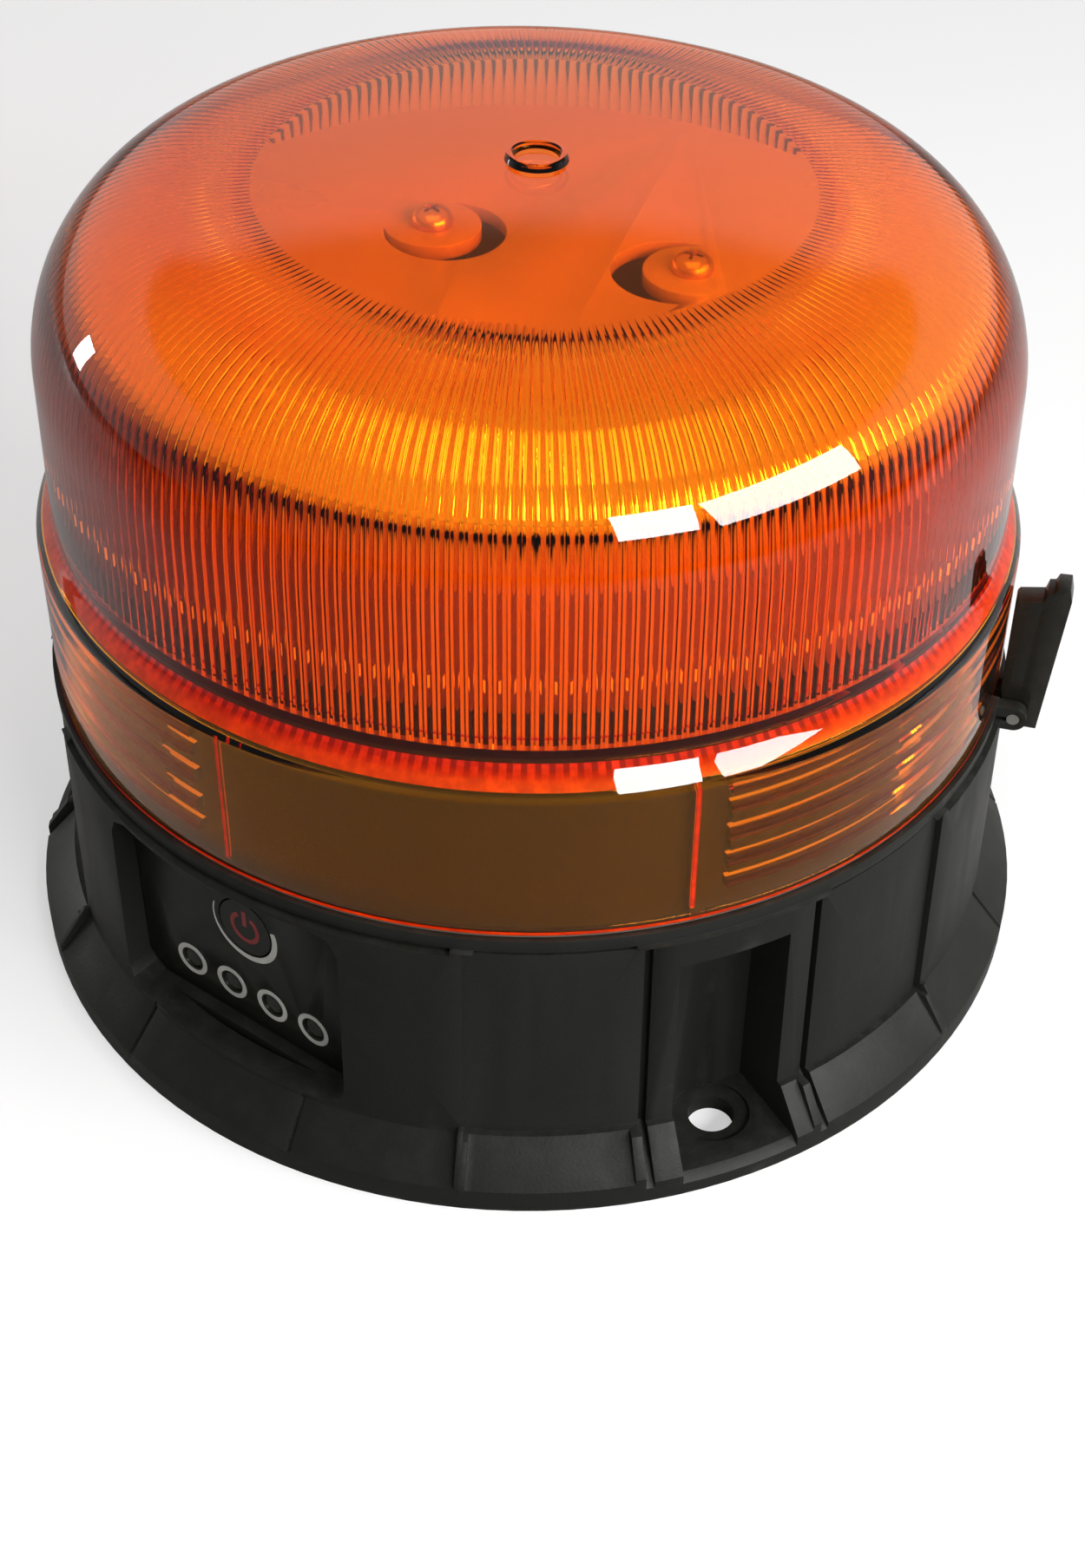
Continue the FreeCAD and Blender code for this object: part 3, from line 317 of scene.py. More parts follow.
def stood(piece, azimuth, radius=0.0, height=0.0):
    """Turn a piece drawn on the -Y side to its azimuth, and keep the place in its mesh."""
    make_active(piece)
    angle = math.radians(azimuth)
    piece.rotation_euler = (0, 0, angle)
    piece.location = (radius * MM * math.sin(angle), -radius * MM * math.cos(angle),
                      height * MM)
    bpy.ops.object.transform_apply(location=True, rotation=True, scale=True)
    return piece


def copied(piece, name):
    """A copy of a piece with its own mesh."""
    make_active(piece)
    bpy.ops.object.duplicate()
    return named(name)


def merged(name, pieces):
    """Several objects joined as one piece."""
    deselect()
    for piece in pieces:
        piece.select_set(True)
    bpy.context.view_layer.objects.active = pieces[0]
    if len(pieces) > 1:
        bpy.ops.object.join()
    return named(name)


def shelled(node):
    """A copy of a CAD node's mesh, merged into one skin with its flat faces whole."""
    source = frame["nodes"][node]
    piece = bpy.data.objects.new(f"{node}_moulded", source.data.copy())
    bpy.context.scene.collection.objects.link(piece)
    piece.data.materials.clear()
    edit(piece)
    weld(0.001)
    bpy.ops.mesh.select_all(action="SELECT")
    bpy.ops.mesh.dissolve_limited(angle_limit=math.radians(0.6))
    done()
    return piece


def finished(piece, material, slot, body, *nodes):
    """Give a piece its material and body, and hide the CAD nodes it stands for; the slot
    argument is not used.
    """
    piece.data.materials.clear()
    piece.data.materials.append(material)
    for face in piece.data.polygons:
        face.material_index = 0
    if nodes:
        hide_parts(*nodes)
    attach(piece, body)
    return piece


# ---- shader helpers ----------------------------------------------------------------------

def new_group(name, inputs, outputs):
    """A shader node group with its sockets; inputs are (name, kind, default)."""
    tree = bpy.data.node_groups.new(name, "ShaderNodeTree")
    for label, kind, default in inputs:
        socket = tree.interface.new_socket(label, in_out="INPUT", socket_type=kind)
        if default is not None:
            socket.default_value = default
    for label, kind in outputs:
        tree.interface.new_socket(label, in_out="OUTPUT", socket_type=kind)
    entry = tree.nodes.new("NodeGroupInput")
    leave = tree.nodes.new("NodeGroupOutput")
    return tree, entry.outputs, leave.inputs


def feed(tree, item, **inputs):
    """Set or link a node's inputs, by name or as _number."""
    for key, given in inputs.items():
        socket = item.inputs[int(key[1:]) if key[0] == "_" else key.replace("_", " ")]
        if isinstance(given, bpy.types.NodeSocket):
            tree.links.new(given, socket)
        else:
            socket.default_value = given
    return item


def put(tree, kind, settings=None, **inputs):
    """Add a node, set its properties and feed its inputs."""
    item = tree.nodes.new(kind)
    for key, setting in (settings or {}).items():
        setattr(item, key, setting)
    return feed(tree, item, **inputs)


def math_node(tree, operation, first, second=0.5, clamp=False):
    return put(tree, "ShaderNodeMath", {"operation": operation, "use_clamp": clamp},
               _0=first, _1=second).outputs[0]


def ramp(tree, value, low, high, start=0.0, end=1.0):
    """Map a value from low-high onto start-end, clamped and smooth."""
    return put(tree, "ShaderNodeMapRange", {"interpolation_type": "SMOOTHSTEP"}, Value=value,
               From_Min=low, From_Max=high, To_Min=start, To_Max=end).outputs["Result"]


def noise(tree, vector, scale, detail=3.0, roughness=0.5):
    return put(tree, "ShaderNodeTexNoise", Vector=vector, Scale=scale, Detail=detail,
               Roughness=roughness).outputs[0]


def mixed(tree, factor, first, second):
    """Blend two colours."""
    return put(tree, "ShaderNodeMix", {"data_type": "RGBA"}, _0=factor, _6=first,
               _7=second).outputs[2]


def grain_group():
    """Fine spark-eroded texture of a moulding, with slow changes in gloss."""
    tree, given, result = new_group("Moulded Grain", [
        ("Vector", "NodeSocketVector", None), ("Scale", "NodeSocketFloat", 2600.0),
        ("Unevenness", "NodeSocketFloat", 0.3)],
        [("Height", "NodeSocketFloat"), ("Gloss", "NodeSocketFloat")])
    fine = noise(tree, given["Vector"], given["Scale"], 2.0, 0.6)
    pits = put(tree, "ShaderNodeTexVoronoi", {"feature": "SMOOTH_F1"}, Vector=given["Vector"],
               Scale=given["Scale"]).outputs["Distance"]
    height = math_node(tree, "ADD", fine, math_node(tree, "MULTIPLY", pits, 0.6))
    tree.links.new(height, result["Height"])
    slow = noise(tree, given["Vector"], 42.0, 4.0, 0.55)
    swing = math_node(tree, "SUBTRACT", slow, 0.5)
    tree.links.new(math_node(tree, "MULTIPLY", swing, given["Unevenness"]), result["Gloss"])
    return tree


def wear_group():
    """Edges and corners rubbed by handling, and fine stray scuffs."""
    tree, given, result = new_group("Handling Wear", [
        ("Vector", "NodeSocketVector", None), ("Amount", "NodeSocketFloat", 0.5)],
        [("Edges", "NodeSocketFloat"), ("Scuffs", "NodeSocketFloat")])
    raised = put(tree, "ShaderNodeNewGeometry").outputs["Pointiness"]
    edge = ramp(tree, raised, 0.52, 0.6)
    broken = ramp(tree, noise(tree, given["Vector"], 160.0, 5.0, 0.65), 0.42, 0.62)
    rubbed = math_node(tree, "MULTIPLY", edge, broken)
    tree.links.new(math_node(tree, "MULTIPLY", rubbed, given["Amount"]), result["Edges"])
    stretched = put(tree, "ShaderNodeMapping", Vector=given["Vector"],
                    Rotation=(0.4, 0.9, 0.3), Scale=(40.0, 900.0, 900.0)).outputs[0]
    lines = ramp(tree, noise(tree, stretched, 1.0, 2.0, 0.5), 0.66, 0.76)
    patch = ramp(tree, noise(tree, given["Vector"], 30.0, 2.0, 0.5), 0.5, 0.7)
    scuffed = math_node(tree, "MULTIPLY", lines, patch)
    tree.links.new(math_node(tree, "MULTIPLY", scuffed, given["Amount"]), result["Scuffs"])
    return tree


def dust_group():
    """Thin dust on faces that look up."""
    tree, given, result = new_group("Settled Dust", [
        ("Vector", "NodeSocketVector", None), ("Amount", "NodeSocketFloat", 0.1)],
        [("Mask", "NodeSocketFloat")])
    normal = put(tree, "ShaderNodeNewGeometry").outputs["Normal"]
    upward = ramp(tree, put(tree, "ShaderNodeSeparateXYZ", Vector=normal).outputs["Z"],
                  0.35, 0.95)
    clumps = ramp(tree, noise(tree, given["Vector"], 320.0, 6.0, 0.7), 0.35, 0.8)
    settled = math_node(tree, "MULTIPLY", upward, clumps)
    tree.links.new(math_node(tree, "MULTIPLY", settled, given["Amount"]), result["Mask"])
    return tree


def group_node(tree, name, **inputs):
    """Place a shared node group, fed by name."""
    group = bpy.data.node_groups[name]
    return put(tree, "ShaderNodeGroup", {"node_tree": group}, **inputs).outputs


def new_material(name):
    """A material with a Principled shader, and its Object coordinates."""
    material = bpy.data.materials.new(name)
    material.use_nodes = True
    tree = material.node_tree
    tree.nodes.clear()
    output = tree.nodes.new("ShaderNodeOutputMaterial")
    shader = tree.nodes.new("ShaderNodeBsdfPrincipled")
    tree.links.new(shader.outputs[0], output.inputs[0])
    place = tree.nodes.new("ShaderNodeTexCoord").outputs["Object"]
    return material, tree, shader, place


def output_of(tree):
    """The node that the finished surface goes into."""
    return next(item for item in tree.nodes if item.type == "OUTPUT_MATERIAL")


def looked_at(tree):
    """1 for a ray from the camera, straight or through clear plastic, and 0 for the rest."""
    path = put(tree, "ShaderNodeLightPath").outputs
    unscattered = math_node(tree, "LESS_THAN", path["Diffuse Depth"], 0.5)
    through = math_node(tree, "MULTIPLY", path["Is Transmission Ray"], unscattered)
    return math_node(tree, "MAXIMUM", path["Is Camera Ray"], through)


def moulded(name, colour, roughness=0.45, grain=2600.0, depth=0.02, metallic=0.0, wear=0.4,
            dust=0.06, coat=0.0, specular=0.5, uneven=0.3, glow=0.0):
    """A moulded, plated or painted finish with grain, rubbed edges, scuffs and dust, and a
    painted glow where glow is given.
    """
    material, tree, shader, place = new_material(name)
    surface = group_node(tree, "Moulded Grain", Vector=place, Scale=grain, Unevenness=uneven)
    rub = group_node(tree, "Handling Wear", Vector=place, Amount=wear)
    settled = group_node(tree, "Settled Dust", Vector=place, Amount=dust)
    lighter = tuple(min(1.0, part * 1.7 + 0.012) for part in colour[:3]) + (1.0,)
    tone = mixed(tree, rub["Edges"], colour, lighter)
    tone = mixed(tree, math_node(tree, "MULTIPLY", rub["Scuffs"], 0.5), tone, lighter)
    tone = mixed(tree, settled["Mask"], tone, srgb(150, 146, 138))
    rough = math_node(tree, "ADD", surface["Gloss"], roughness)
    rough = math_node(tree, "ADD", rough, math_node(tree, "MULTIPLY", settled["Mask"], 0.6))
    rough = math_node(tree, "SUBTRACT", rough, math_node(tree, "MULTIPLY", rub["Edges"], 0.12),
                      clamp=True)
    bump = put(tree, "ShaderNodeBump", Height=surface["Height"], Strength=1.0,
               Distance=depth * MM)
    feed(tree, shader, Base_Color=tone, Roughness=rough, Metallic=metallic, Coat_Weight=coat,
         Specular_IOR_Level=specular, Normal=bump.outputs[0])
    # Painted glow: an emission that makes the part give out light though it is no lamp.
    if glow:
        feed(tree, shader, Emission_Color=colour, Emission_Strength=glow)
    return material


def amber_plastic(settings):
    """Clear amber polycarbonate: polished, deeper in colour where it is thick."""
    material, tree, shader, place = new_material("Amber Polycarbonate")
    smear = ramp(tree, noise(tree, place, 60.0, 4.0, 0.6), 0.4, 0.9, 0.012, 0.05)
    feed(tree, shader, Base_Color=settings.amber_glow, Transmission_Weight=1.0, IOR=1.5,
         Roughness=smear)
    lets_through = put(tree, "ShaderNodeBsdfTransparent", Color=(1.0, 0.84, 0.6, 1))
    path = put(tree, "ShaderNodeLightPath")
    mix = put(tree, "ShaderNodeMixShader", _0=path.outputs["Is Shadow Ray"],
              _1=shader.outputs[0], _2=lets_through.outputs[0])
    output = output_of(tree)
    tree.links.new(mix.outputs[0], output.inputs["Surface"])
    depth = put(tree, "ShaderNodeVolumeAbsorption", Color=settings.amber_body,
                Density=settings.amber_density)
    tree.links.new(depth.outputs[0], output.inputs["Volume"])
    return material


def amber_painted_glow(flutes):
    """Painted glow on edges of the dome: colour and emission stand in for light running inside
    the plastic, with painted dark dashes by the flutes.
    """
    material, tree, shader, place = new_material("Amber Painted Glow")
    streaks = ramp(tree, noise(tree, place, 500.0, 3.0, 0.6), 0.3, 0.75)
    tone = mixed(tree, streaks, (0.3, 0.03, 0.01, 1), (0.5, 0.08, 0.015, 1))
    at = put(tree, "ShaderNodeSeparateXYZ", Vector=place).outputs
    turn = math_node(tree, "ARCTAN2", at["Y"], at["X"])
    # Painted shade: one dark dash for each flute, on the slope over the bore.
    painted_dark_dashes = math_node(tree, "SINE", math_node(tree, "MULTIPLY", turn, flutes))
    reach = put(tree, "ShaderNodeVectorMath", {"operation": "LENGTH"},
                _0=put(tree, "ShaderNodeCombineXYZ", X=at["X"], Y=at["Y"]).outputs[0])
    cone = ramp(tree, reach.outputs["Value"], 63.2 * MM, 65.2 * MM, 1.0, 0.0)
    broken = math_node(tree, "MULTIPLY", ramp(tree, painted_dark_dashes, -0.2, 0.5), cone)
    tone = mixed(tree, broken, tone, (0.16, 0.014, 0.006, 1))
    # Painted glow: the orange colour and a faint emission stand in for light carried inside the
    # plastic.
    feed(tree, shader, Base_Color=tone, Emission_Color=tone, Emission_Strength=0.07,
         Roughness=0.35)
    return material


def circuit_board(name, mask, track):
    """Solder mask with faint tracks and pads under it."""
    material, tree, shader, place = new_material(name)
    cells = put(tree, "ShaderNodeTexBrick", {"offset": 0.5}, Vector=place, Scale=260.0,
                Mortar_Size=0.03, Color1=(0, 0, 0, 1), Color2=(0.5, 0.5, 0.5, 1),
                Mortar=(1, 1, 1, 1)).outputs["Color"]
    gaps = ramp(tree, noise(tree, place, 90.0, 1.0), 0.45, 0.5)
    tracks = math_node(tree, "MULTIPLY", put(tree, "ShaderNodeRGBToBW", {},
                                             Color=cells).outputs[0], gaps)
    bump = put(tree, "ShaderNodeBump", Height=tracks, Distance=0.03 * MM)
    feed(tree, shader, Base_Color=mixed(tree, tracks, mask, track), Roughness=0.3,
         Normal=bump.outputs[0])
    return material


def build_materials(settings, flutes):
    """Every finish, by the name of its slot."""
    for build in (grain_group, wear_group, dust_group):
        build()
    wear = settings.wear
    return {
        "black_housing": moulded("Textured Housing", settings.housing, 0.5, 2300, 0.022,
                                 wear=wear, dust=0.03, specular=0.2),
        "black_gloss": moulded("Satin Clip", srgb(26, 26, 22), 0.3, 1800, 0.012, wear=wear,
                               specular=0.3),
        "black_rubber": moulded("Black Rubber", srgb(28, 28, 27), 0.72, 1500, 0.03, wear=0.1),
        "grey_rubber": moulded("Grey Silicone", srgb(96, 95, 92), 0.6, 1500, 0.01, wear=0.0),
        "magnet_nickel": moulded("Nickel Plate", srgb(196, 193, 186), 0.22, 900, 0.004, 1.0,
                                 wear=0.3),
        "zinc_steel": moulded("Zinc Plate", srgb(186, 186, 180), 0.32, 1400, 0.006, 1.0),
        "black_steel": moulded("Blackened Steel", srgb(40, 40, 41), 0.38, 1500, 0.006, 0.8),
        "cell_wrap": moulded("Cell Wrap", srgb(46, 96, 140), 0.28, 300, 0.01, wear=0.1,
                             uneven=0.15),
        "circuit_board": circuit_board("Green Circuit Board", srgb(18, 74, 38),
                                       srgb(52, 122, 62)),
        "ferrite": moulded("Ferrite", srgb(58, 55, 54), 0.6, 1200, 0.03, wear=0.2),
        "capacitor_can": moulded("Aluminium Can", srgb(205, 205, 208), 0.25, 600, 0.004, 1.0),
        "chip_black": moulded("Epoxy", srgb(34, 34, 35), 0.5, 3000, 0.01, wear=0.0),
        "connector_white": moulded("Natural Nylon", srgb(222, 218, 204), 0.4, 1200, 0.008,
                                   wear=0.0, specular=0.4),
        "socket_black": moulded("Black Nylon", srgb(24, 24, 24), 0.25, 1800, 0.006, wear=0.2),
        "keypad_film": moulded("Printed Film", srgb(27, 28, 23), 0.34, 3400, 0.01, wear=0.1,
                               dust=0.02, specular=0.25),
        "lamp_lens": moulded("Lamp Lens", srgb(60, 62, 58), 0.12, 400, 0.002, wear=0.0,
                             coat=0.6),
        "carrier_plastic": moulded("Pale Moulding", srgb(186, 176, 160), 0.32, 1400, 0.01,
                                   wear=0.0, dust=0.03),
        "brass_screw": moulded("Passivated Steel", srgb(226, 190, 120), 0.24, 900, 0.004, 1.0,
                               wear=0.2),
        "led_board_white": moulded("White Circuit Board", srgb(112, 100, 88), 0.3, 900,
                                   0.004, wear=0.0),
        # Painted glow: the phosphor is given a faint emission of its own.
        "led_lens": moulded("Phosphor with Painted Glow", srgb(250, 226, 90), 0.3, 500, 0.004, wear=0.0,
                            coat=0.4, glow=0.6),
        "lead_red": moulded("Red Insulation", srgb(170, 20, 16), 0.35, 900, 0.01, wear=0.0),
        "lead_black": moulded("Black Insulation", srgb(30, 30, 30), 0.35, 900, 0.01,
                              wear=0.0),
        "marking": moulded("Grey Print", settings.marking, 0.4, 3000, 0.005, wear=0.3),
        "power_marking": moulded("Red Print", settings.power, 0.4, 3000, 0.005, wear=0.2),
        "amber_dome": amber_plastic(settings),
        "amber_painted_glow": amber_painted_glow(flutes),
    }


FINISHES = {}


# ---- operators ---------------------------------------------------------------------------

class BEACON_OT_finishes(bpy.types.Operator):
    """Build the finishes and give each CAD node the finish of its slot"""
    bl_idname = "beacon.finishes"
    bl_label = "Finishes"

    def execute(self, context):
        FINISHES.update(build_materials(context.scene.beacon_finish,
                                        context.scene.beacon_dome.flutes))
        slots = {part["node"]: part["material_slot"]
                 for part in frame["record"]["subparts"]}
        for name, item in frame["nodes"].items():
            material = FINISHES[slots[name]]
            if not item.material_slots:
                item.data.materials.append(material)
            for place in item.material_slots:
                place.material = material
        return {"FINISHED"}


class BEACON_OT_dome(bpy.types.Operator):
    """Build the amber dome: a smooth outside, a ring of flutes inside, and turn lugs"""
    bl_idname = "beacon.dome"
    bl_label = "Amber Dome"

    def outside(self, settings):
        """From the flutes' ledge down the bore, round the band, and up to the crown's top."""
        radius, top = settings.radius / MM, settings.top / MM
        shoulder, crown = settings.shoulder / MM, settings.crown / MM
        reach = radius - shoulder
        rise = math.sqrt((crown - shoulder) ** 2 - reach ** 2)
        lift = math.degrees(math.atan2(rise, reach))
        line = [(62, FLUTE_FOOT), (62, 70.4), (62, 69.7), (62.2, 69.4), (64.2, 67.96),
                (65.8, 66.8), (BORE_RADIUS, 66.4)]
        edges = [level for pair in LUG_LEVELS for level in pair]
        line += [(BORE_RADIUS, level) for level in (66.1, *reversed(edges), 45.7)]
        line += [(66.15, 45.2), (66.35, 45.05), (67.7, 45.05), (67.9, 45.15),
                 (BAND_RADIUS, BAND_LOW)]
        line += [(BAND_RADIUS - BAND_DRAFT * step / 4, BAND_LOW + BAND_RISE * step / 4)
                 for step in range(1, 5)]
        line += [(67.81, 66.45), (67.73, 66.72), (67.24, 67.5), (66.72, 68.29),
                 (66.19, 69.07), (65.66, 69.82), (65.54, 70.02), (65.48, 70.35),
                 (WALL_FOOT_RADIUS, WALL_FOOT)]
        high = top - crown + rise
        line += [(WALL_FOOT_RADIUS + (radius - WALL_FOOT_RADIUS) * step / 8,
                  WALL_FOOT + (high - WALL_FOOT) * step / 8) for step in range(1, 9)]
        line += arc((reach, high), shoulder, 0, lift, 26)[1:]
        start = crown * math.cos(math.radians(lift))
        for step in range(1, 13):
            at = start + (GATE_RADIUS - start) * step / 12
            line.append((at, top - crown + math.sqrt(crown ** 2 - at ** 2)))
        line += [(4, top + 0.35), (3.85, top + 0.75), (3.6, top + 0.9), (3.3, top + 0.9),
                 (3.05, top + 0.75), (2.9, top + 0.35), (2.85, top), (1.5, top - 0.01),
                 (0, top - 0.01)]
        return line

    def fluted(self):
        """The flutes' valleys, from the disc out over the shoulder and down the side."""
        slope = [(35.6, 110.27), (37, 110.25), (39, 110.24), (41.5, 110.1), (44.5, 109.8),
                 (48, 109.25), (50.6, 108.75), (53, 107.8), (55.2, 106.6), (57.2, 105.05),
                 (58.8, 103.35), (60, 101.6), (60.55, 100.6), (60.75, 99.6)]
        fall = FLUTE_HEAD - FLUTE_FOOT
        side = [(60.8 + 0.8 * step / 12, FLUTE_HEAD - fall * step / 12)
                for step in range(13)]
        return slope + side

    def execute(self, context):
        settings = context.scene.beacon_dome
        pitch = 360 / settings.flutes
        inner = settings.crown / MM - CROWN_WALL
        drop = settings.top / MM - settings.crown / MM
        disc = [(at, drop + math.sqrt(inner ** 2 - at ** 2))
                for at in (0, 1.5, 6, 12, 18, 24, 29, 33, 34.8)]
        outer = wedge("amber_dome", self.outside(settings), 1, pitch)
        done()
        plain = wedge("crown_disc", disc, 1, pitch)
        done()
        chain = self.fluted()
        ribs = wedge("flute", chain, settings.flute_columns, pitch)
        mesh = bmesh.from_edit_mesh(ribs.data)
        for vertex in mesh.verts:
            self.shape_rib(vertex, chain, pitch, settings.flute_depth / MM)
        bmesh.update_edit_mesh(ribs.data)
        done()
        dome = merged("amber_dome", [outer, plain, ribs])
        edit(dome, "EDGE")
        for low, high, near, far in ((FLUTE_FOOT - 0.1, FLUTE_FOOT + 0.1, 58, 62.1),
                                     (110, 110.6, 34.2, 36.4)):
            pick(dome, "EDGE", lambda edge: edge.is_boundary
                 and low < middle(edge).z < high
                 and near < middle(edge).xy.length < far
                 and abs(edge.verts[0].co.xy.length - edge.verts[1].co.xy.length) < 1.3 * MM
                 and not self.on_side(edge, pitch))
            bpy.ops.mesh.edge_face_add()
        bpy.ops.mesh.select_mode(type="VERT")
        spun(dome, settings.flutes - 1, 360 - pitch, copies=True)
        self.lugs(dome)
        outward()
        done()
        smooth(dome, 38)
        finished(dome, FINISHES["amber_dome"], "amber_dome", DOME, "dome")
        # The slope over the bore, the uprights and the band's foot get the painted glow
        # material.
        dome.data.materials.append(FINISHES["amber_painted_glow"])
        for face in dome.data.polygons:
            if self.takes_painted_glow(face):
                face.material_index = 1
        return {"FINISHED"}

    @staticmethod
    def takes_painted_glow(face):
        """True for the faces that get the painted glow: the slope over the bore, the uprights,
        the band's foot.
        """
        at = face.center / MM
        reach = at.xy.length
        if 62.1 < reach < 65.9 and 66.7 < at.z < 69.5 and abs(face.normal.z) > 0.5:
            return True
        if 65.48 < reach < 65.6 and abs(face.normal.z) < 0.1:
            return 46 < at.z < 66.2
        return 66.3 < reach < 67.75 and at.z < BAND_LOW - 0.2

    @staticmethod
    def on_side(edge, pitch):
        """True for an edge that lies along one side of the wedge."""
        turns = [math.degrees(math.atan2(vertex.co.y, vertex.co.x)) for vertex in edge.verts
                 if vertex.co.xy.length > 0.1 * MM]
        return len(turns) < 2 or abs(turns[0] - turns[1]) < pitch * 0.01

    @staticmethod
    def shape_rib(vertex, chain, pitch, depth):
        """Push a vertex of a flute in by the rounded section of a rib."""
        radius = vertex.co.xy.length / MM
        height = vertex.co.z / MM
        share = (math.degrees(math.atan2(vertex.co.y, vertex.co.x)) / pitch) % 1.0001
        crest = math.sqrt(max(0.0, 1 - (2 * share - 1) ** 2))
        index = min(range(len(chain)), key=lambda step: abs(chain[step][0] - radius)
                    + abs(chain[step][1] - height))
        before = Vector(chain[max(0, index - 1)])
        after = Vector(chain[min(len(chain) - 1, index + 1)])
        along = (after - before).normalized()
        inward = Vector((along.y, -along.x))
        if inward.y > 0 or inward.x > 0:
            inward = -inward
        fade = min(1.0, max(0.0, (radius - 36) / 9)) ** 0.8 if height > 100.7 else 1.0
        push = crest * fade * depth * min(1.0, radius / 60)
        scale = (radius + inward.x * push) / radius
        vertex.co.x *= scale
        vertex.co.y *= scale
        vertex.co.z += inward.y * push * MM

    @staticmethod
    def lugs(dome):
        """Level lugs in three sectors of the bore, and an upright line at each side of them."""
        def in_bore(face):
            at = middle(face)
            return 65.8 < at.xy.length < 66.05 and abs(face.normal.z) < 0.1

        pick(dome, "FACE", lambda face: in_bore(face)
             and any(low < middle(face).z < high for low, high in LUG_LEVELS)
             and any(within(azimuth_of(middle(face)), LUG_START + 120 * count, LUG_SPAN)
                     for count in range(3)))
        bpy.ops.mesh.extrude_region_move()
        grow(LUG_REACH / BORE_RADIUS)
        pick(dome, "FACE", lambda face: in_bore(face) and 45.8 < middle(face).z < 66.2
             and any(within(azimuth_of(middle(face)), start + 120 * count, LINE_SPAN)
                     for start in LINE_STARTS for count in range(3)))
        bpy.ops.mesh.inset(thickness=LINE_EDGE * MM, depth=0)
        bpy.ops.mesh.extrude_region_move()
        grow(LINE_REACH / BORE_RADIUS)


def ring(name, radius, width, thickness, points=48):
    """A flat printed ring that faces -Y."""
    deselect()
    bpy.ops.mesh.primitive_circle_add(vertices=points, radius=radius * MM,
                                      rotation=(math.radians(90), 0, 0))
    piece = named(name)
    bpy.ops.object.transform_apply(location=True, rotation=True, scale=True)
    edit(piece, "EDGE")
    bpy.ops.mesh.select_all(action="SELECT")
    bpy.ops.mesh.extrude_region_move()
    factor = (radius - width) / radius
    bpy.ops.transform.resize(value=(factor, 1, factor), center_override=(0, 0, 0))
    bpy.ops.mesh.select_all(action="SELECT")
    bpy.ops.mesh.extrude_region_move(TRANSFORM_OT_translate={"value": (0, thickness * MM, 0)})
    outward()
    done()
    return piece


class BEACON_OT_keypad(bpy.types.Operator):
    """Print the keypad: four lamp rings, a power sign and an arc round the key"""
    bl_idname = "beacon.keypad"
    bl_label = "Keypad Marks"

    def execute(self, context):
        lift = 0.06
        face = KEYPAD_FACE + 0.04
        rings = []
        for place in (-1.5, -0.5, 0.5, 1.5):
            mark = ring("lamp_ring", 2.7, 0.75, lift)
            mark.data.transform(Matrix.Translation((place * LAMP_PITCH * MM, 0, 0)))
            rings.append(mark)
        rings = merged("lamp_rings", rings)
        stood(rings, KEYPAD_AZIMUTH, face, LAMP_HEIGHT)
        finished(rings, FINISHES["marking"], "keypad_film", ROOT)

        outside = 5.75
        outline = arc((0, 0), outside, -200, 20, 40)
        for step in range(41):
            turn = math.radians(20 - 220 * step / 40)
            inside = outside - 0.55 - 0.4 * math.cos(turn + math.radians(35))
            outline.append((inside * math.cos(turn), inside * math.sin(turn)))
        halo = flat_shape("key_arc", outline, lift)
        stood(halo, KEYPAD_AZIMUTH, face, BUTTON_HEIGHT)
        finished(halo, FINISHES["marking"], "keypad_film", ROOT)

        outline = arc((0, 0), 2.6, 120, 420, 32) + arc((0, 0), 1.9, 420, 120, 32)
        sign = flat_shape("power_ring", outline, lift)
        bar = flat_shape("power_bar", [(-0.35, 0.3), (0.35, 0.3), (0.35, 3), (-0.35, 3)], lift)
        sign = merged("power_sign", [sign, bar])
        stood(sign, KEYPAD_AZIMUTH, face, BUTTON_HEIGHT)
        finished(sign, FINISHES["power_marking"], "keypad_film", BUTTON)
        return {"FINISHED"}


class BEACON_OT_mouldings(bpy.types.Operator):
    """Round the edges of the black mouldings and the carrier"""
    bl_idname = "beacon.mouldings"
    bl_label = "Mouldings"

    def execute(self, context):
        for node, width, slot, body in (
                ("base_housing", 0.22, "black_housing", ROOT),
                ("dome_clip", 0.25, "black_gloss", CLIP),
                ("light_carrier", 0.3, "carrier_plastic", ROOT),
                ("keypad_overlay", 0.12, "keypad_film", ROOT),
                ("bottom_cover", 0.25, "black_housing", ROOT),
                ("rubber_pad", 0.35, "black_rubber", ROOT),
                ("port_cover", 0.3, "black_rubber", FLAP)):
            piece = rounded(shelled(node), width)
            smooth(piece, 40)
            finished(piece, FINISHES[slot], slot, body, node)
        return {"FINISHED"}


def cross_screw(name, radius, height, shank, length):
    """A pan-head screw with a cross recess, its seat at the origin and its head upwards."""
    head = turned(name, [(0, height), (radius * 0.35, height * 0.98),
                         (radius * 0.66, height * 0.88), (radius * 0.88, height * 0.66),
                         (radius * 0.98, height * 0.36), (radius, height * 0.1),
                         (radius * 0.98, 0), (shank, 0), (shank, -length + shank),
                         (shank * 0.3, -length), (0, -length)], 40)
    arms = []
    for across in (0, 90):
        wing = flat_shape(f"{name}_wing", [
            (-radius * 0.52, height + 0.2), (radius * 0.52, height + 0.2),
            (radius * 0.2, height * 0.22), (-radius * 0.2, height * 0.22)], radius * 0.17)
        wing.data.transform(Matrix.Translation((0, -radius * 0.085 * MM, 0)))
        wing.data.transform(Matrix.Rotation(math.radians(across + 20), 4, "Z"))
        arms.append(wing)
    for wing in arms:
        modified(head, "BOOLEAN", "Recess", operation="DIFFERENCE", object=wing,
                 solver="EXACT")
        bpy.data.objects.remove(wing)
    return smooth(head, 30)


